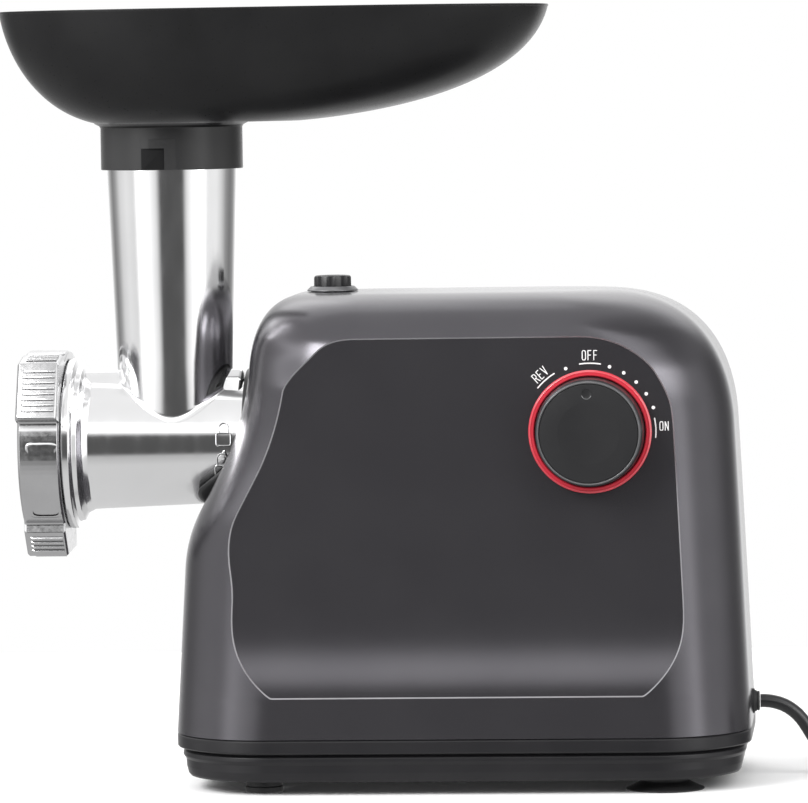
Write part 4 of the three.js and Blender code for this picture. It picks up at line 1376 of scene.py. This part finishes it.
def make_legends():
    shapes = word("OFF", (0.1, 29.6), 3.6, 0) + word("ON", (28.7, 1.8), 3.3, 0)
    shapes += word("REV", (-19.3, 22.3), 3.6, radians(42))
    for radius, degrees, half in ((26.5, 89.6, 8.8), (26.5, 130.5, 9.2), (25.5, 2.6, 8.4)):
        shapes.append(ribbon(arc(radius, degrees, half), UNDERLINE_WIDE))
    for degrees in [110.7] + [72.7 - 13.15 * i for i in range(5)]:
        shapes.append(ribbon([arc(LEGEND_R, degrees, 0)[0]], DOT_WIDE))
    piece("dial_legends", together(*shapes), LEGEND, "housing", "shell_grey")


make_dial()
make_legends()


# ---------- studio ----------
FLOOR = [(-480, -160), (560, -160), (560, 520), (-480, 520)]
FLOOR_DROP = 0.05  # below the soles


def make_floor():
    outline = rounded(FLOOR, 150, 24, closed=True)
    floor = build("floor", ([(x, y, -FLOOR_DROP) for x, y in outline], [list(range(len(outline)))]))
    floor.data.materials.append(
        material("floor_white", (0.95, 0.95, 0.95), (0.97, 0.97, 0.97), (0.7, 0.8), bump=0.0, grain=60)
    )
    floor.visible_glossy = False  # the metal mirrors the world's lower half instead


# Light from the surroundings at eye level: (degrees round from the camera, light).
AROUND = [
    (-180, 1.3), (-162, 0.9), (-148, 0.5), (-134, 0.24), (-121, 0.4), (-108, 0.8), (-90, 0.95), (-72, 0.85),
    (-58, 2.3), (-44, 1.4), (-28, 0.9), (-20, 0.1), (20, 0.1), (27, 0.9), (42, 1.5), (54, 2.9), (66, 1.0),
    (88, 1.05), (100, 0.8), (114, 0.35), (128, 0.22), (142, 0.35), (160, 1.1), (180, 1.5),
]
# How much of the light from above comes from each side, in the same degrees.
ABOVE_AROUND = [
    (-180, 1.0), (18, 1.0), (32, 2.3), (50, 2.2), (66, 1.2), (78, 0.3), (130, 0.3), (155, 1.0), (180, 1.0),
]
# Light from above, before and behind the object, and how much of it shows: (sine of height, light).
UPPER_NEAR = [(0.0, 5.8), (0.42, 5.8), (0.52, 2.4), (0.64, 1.1), (1.0, 1.05)]
UPPER_FAR = [(0.0, 1.9), (0.6, 1.9), (0.8, 1.0), (1.0, 1.05)]
UPPER_SHARE = [(0.0, 0.0), (0.25, 0.0), (0.33, 0.12), (0.4, 0.35), (0.47, 0.8), (0.55, 1.0), (1.0, 1.0)]
# The table's light below eye level: (sine of depth, share), and how bright it is.
TABLE_SHARE = [(0.0, 0.0), (0.21, 0.0), (0.27, 0.3), (0.35, 0.85), (0.6, 1.0), (1.0, 1.0)]
TABLE = 0.74


def make_world():
    """A pale studio with a dim panel where the camera stands, white wherever the camera sees it."""
    world = bpy.data.worlds.new("studio")
    bpy.context.scene.world = world
    world.use_nodes = True
    nodes, links = world.node_tree.nodes, world.node_tree.links
    nodes.clear()
    where = new_node(nodes, "TexCoord")
    turned_round = new_node(nodes, "Mapping")
    turned_round.vector_type = "NORMAL"
    turned_round.inputs["Rotation"].default_value = (0, 0, -CAMERA_TURN)
    links.new(where.outputs["Generated"], turned_round.inputs["Vector"])
    axes = new_node(nodes, "SeparateXYZ")
    links.new(turned_round.outputs["Vector"], axes.inputs["Vector"])
    x, y, z = axes.outputs

    def calculate(kind, *values):
        node = new_node(nodes, "Math")
        node.operation = kind
        for socket, value in zip(node.inputs, values):
            if isinstance(value, (int, float)):
                socket.default_value = value
            else:
                links.new(value, socket)
        return node.outputs[0]

    def looked_up(value, stops):
        node = ramp(nodes, [(position, [light] * 3) for position, light in stops])
        links.new(value, node.inputs["Fac"])
        return node.outputs["Color"]

    def mixed(factor, first, second):
        node = new_node(nodes, "Mix")
        node.data_type = "RGBA"
        node.clamp_factor = True
        for socket, value in (("Factor", factor), ("A", first), ("B", second)):
            links.new(value, node.inputs[socket])
        return node.outputs["Result"]

    around = calculate("ARCTAN2", x, calculate("MULTIPLY", y, -1.0))
    turn = calculate("MULTIPLY_ADD", around, 0.5 / pi, 0.5)
    rise = calculate("MAXIMUM", z, 0.0)
    level, sides = [
        looked_up(turn, [(0.5 + degrees / 360, light) for degrees, light in stops])
        for stops in (AROUND, ABOVE_AROUND)
    ]
    share, near, far = [looked_up(rise, stops) for stops in (UPPER_SHARE, UPPER_NEAR, UPPER_FAR)]
    table = looked_up(calculate("MULTIPLY", z, -1.0), TABLE_SHARE)
    behind = calculate("MULTIPLY_ADD", y, 2.0, 0.5)
    over = mixed(share, level, calculate("MULTIPLY", mixed(behind, near, far), sides))
    light = mixed(table, over, calculate("MULTIPLY", table, TABLE))

    background = new_node(nodes, "Background")
    links.new(light, background.inputs["Color"])
    seen = new_node(nodes, "Background", {"Color": (1, 1, 1, 1)})
    path = new_node(nodes, "LightPath")
    either = new_node(nodes, "MixShader")
    links.new(path.outputs["Is Camera Ray"], either.inputs["Fac"])
    links.new(background.outputs["Background"], either.inputs[1])
    links.new(seen.outputs["Background"], either.inputs[2])
    out = new_node(nodes, "OutputWorld")
    links.new(either.outputs["Shader"], out.inputs["Surface"])


LIGHT_AIM = Vector((0, 0, 0.13))  # in metres, as the lights' places and sizes are


def add_light(name, where, size, power):
    data = bpy.data.lights.new(name, "AREA")
    data.shape = "RECTANGLE"
    data.size, data.size_y = size
    data.energy = power
    light = add(name, data)
    light.location = where
    aim = LIGHT_AIM - Vector(where)
    light.rotation_euler = aim.to_track_quat("-Z", "Y").to_euler()


make_floor()
make_world()
add_light("key", (-1.15, -1.35, 1.35), (0.9, 0.9), 34)
add_light("fill", (-0.9, 1.5, 2.0), (1.6, 1.6), 6)
bpy.context.scene.view_settings.view_transform = "Standard"
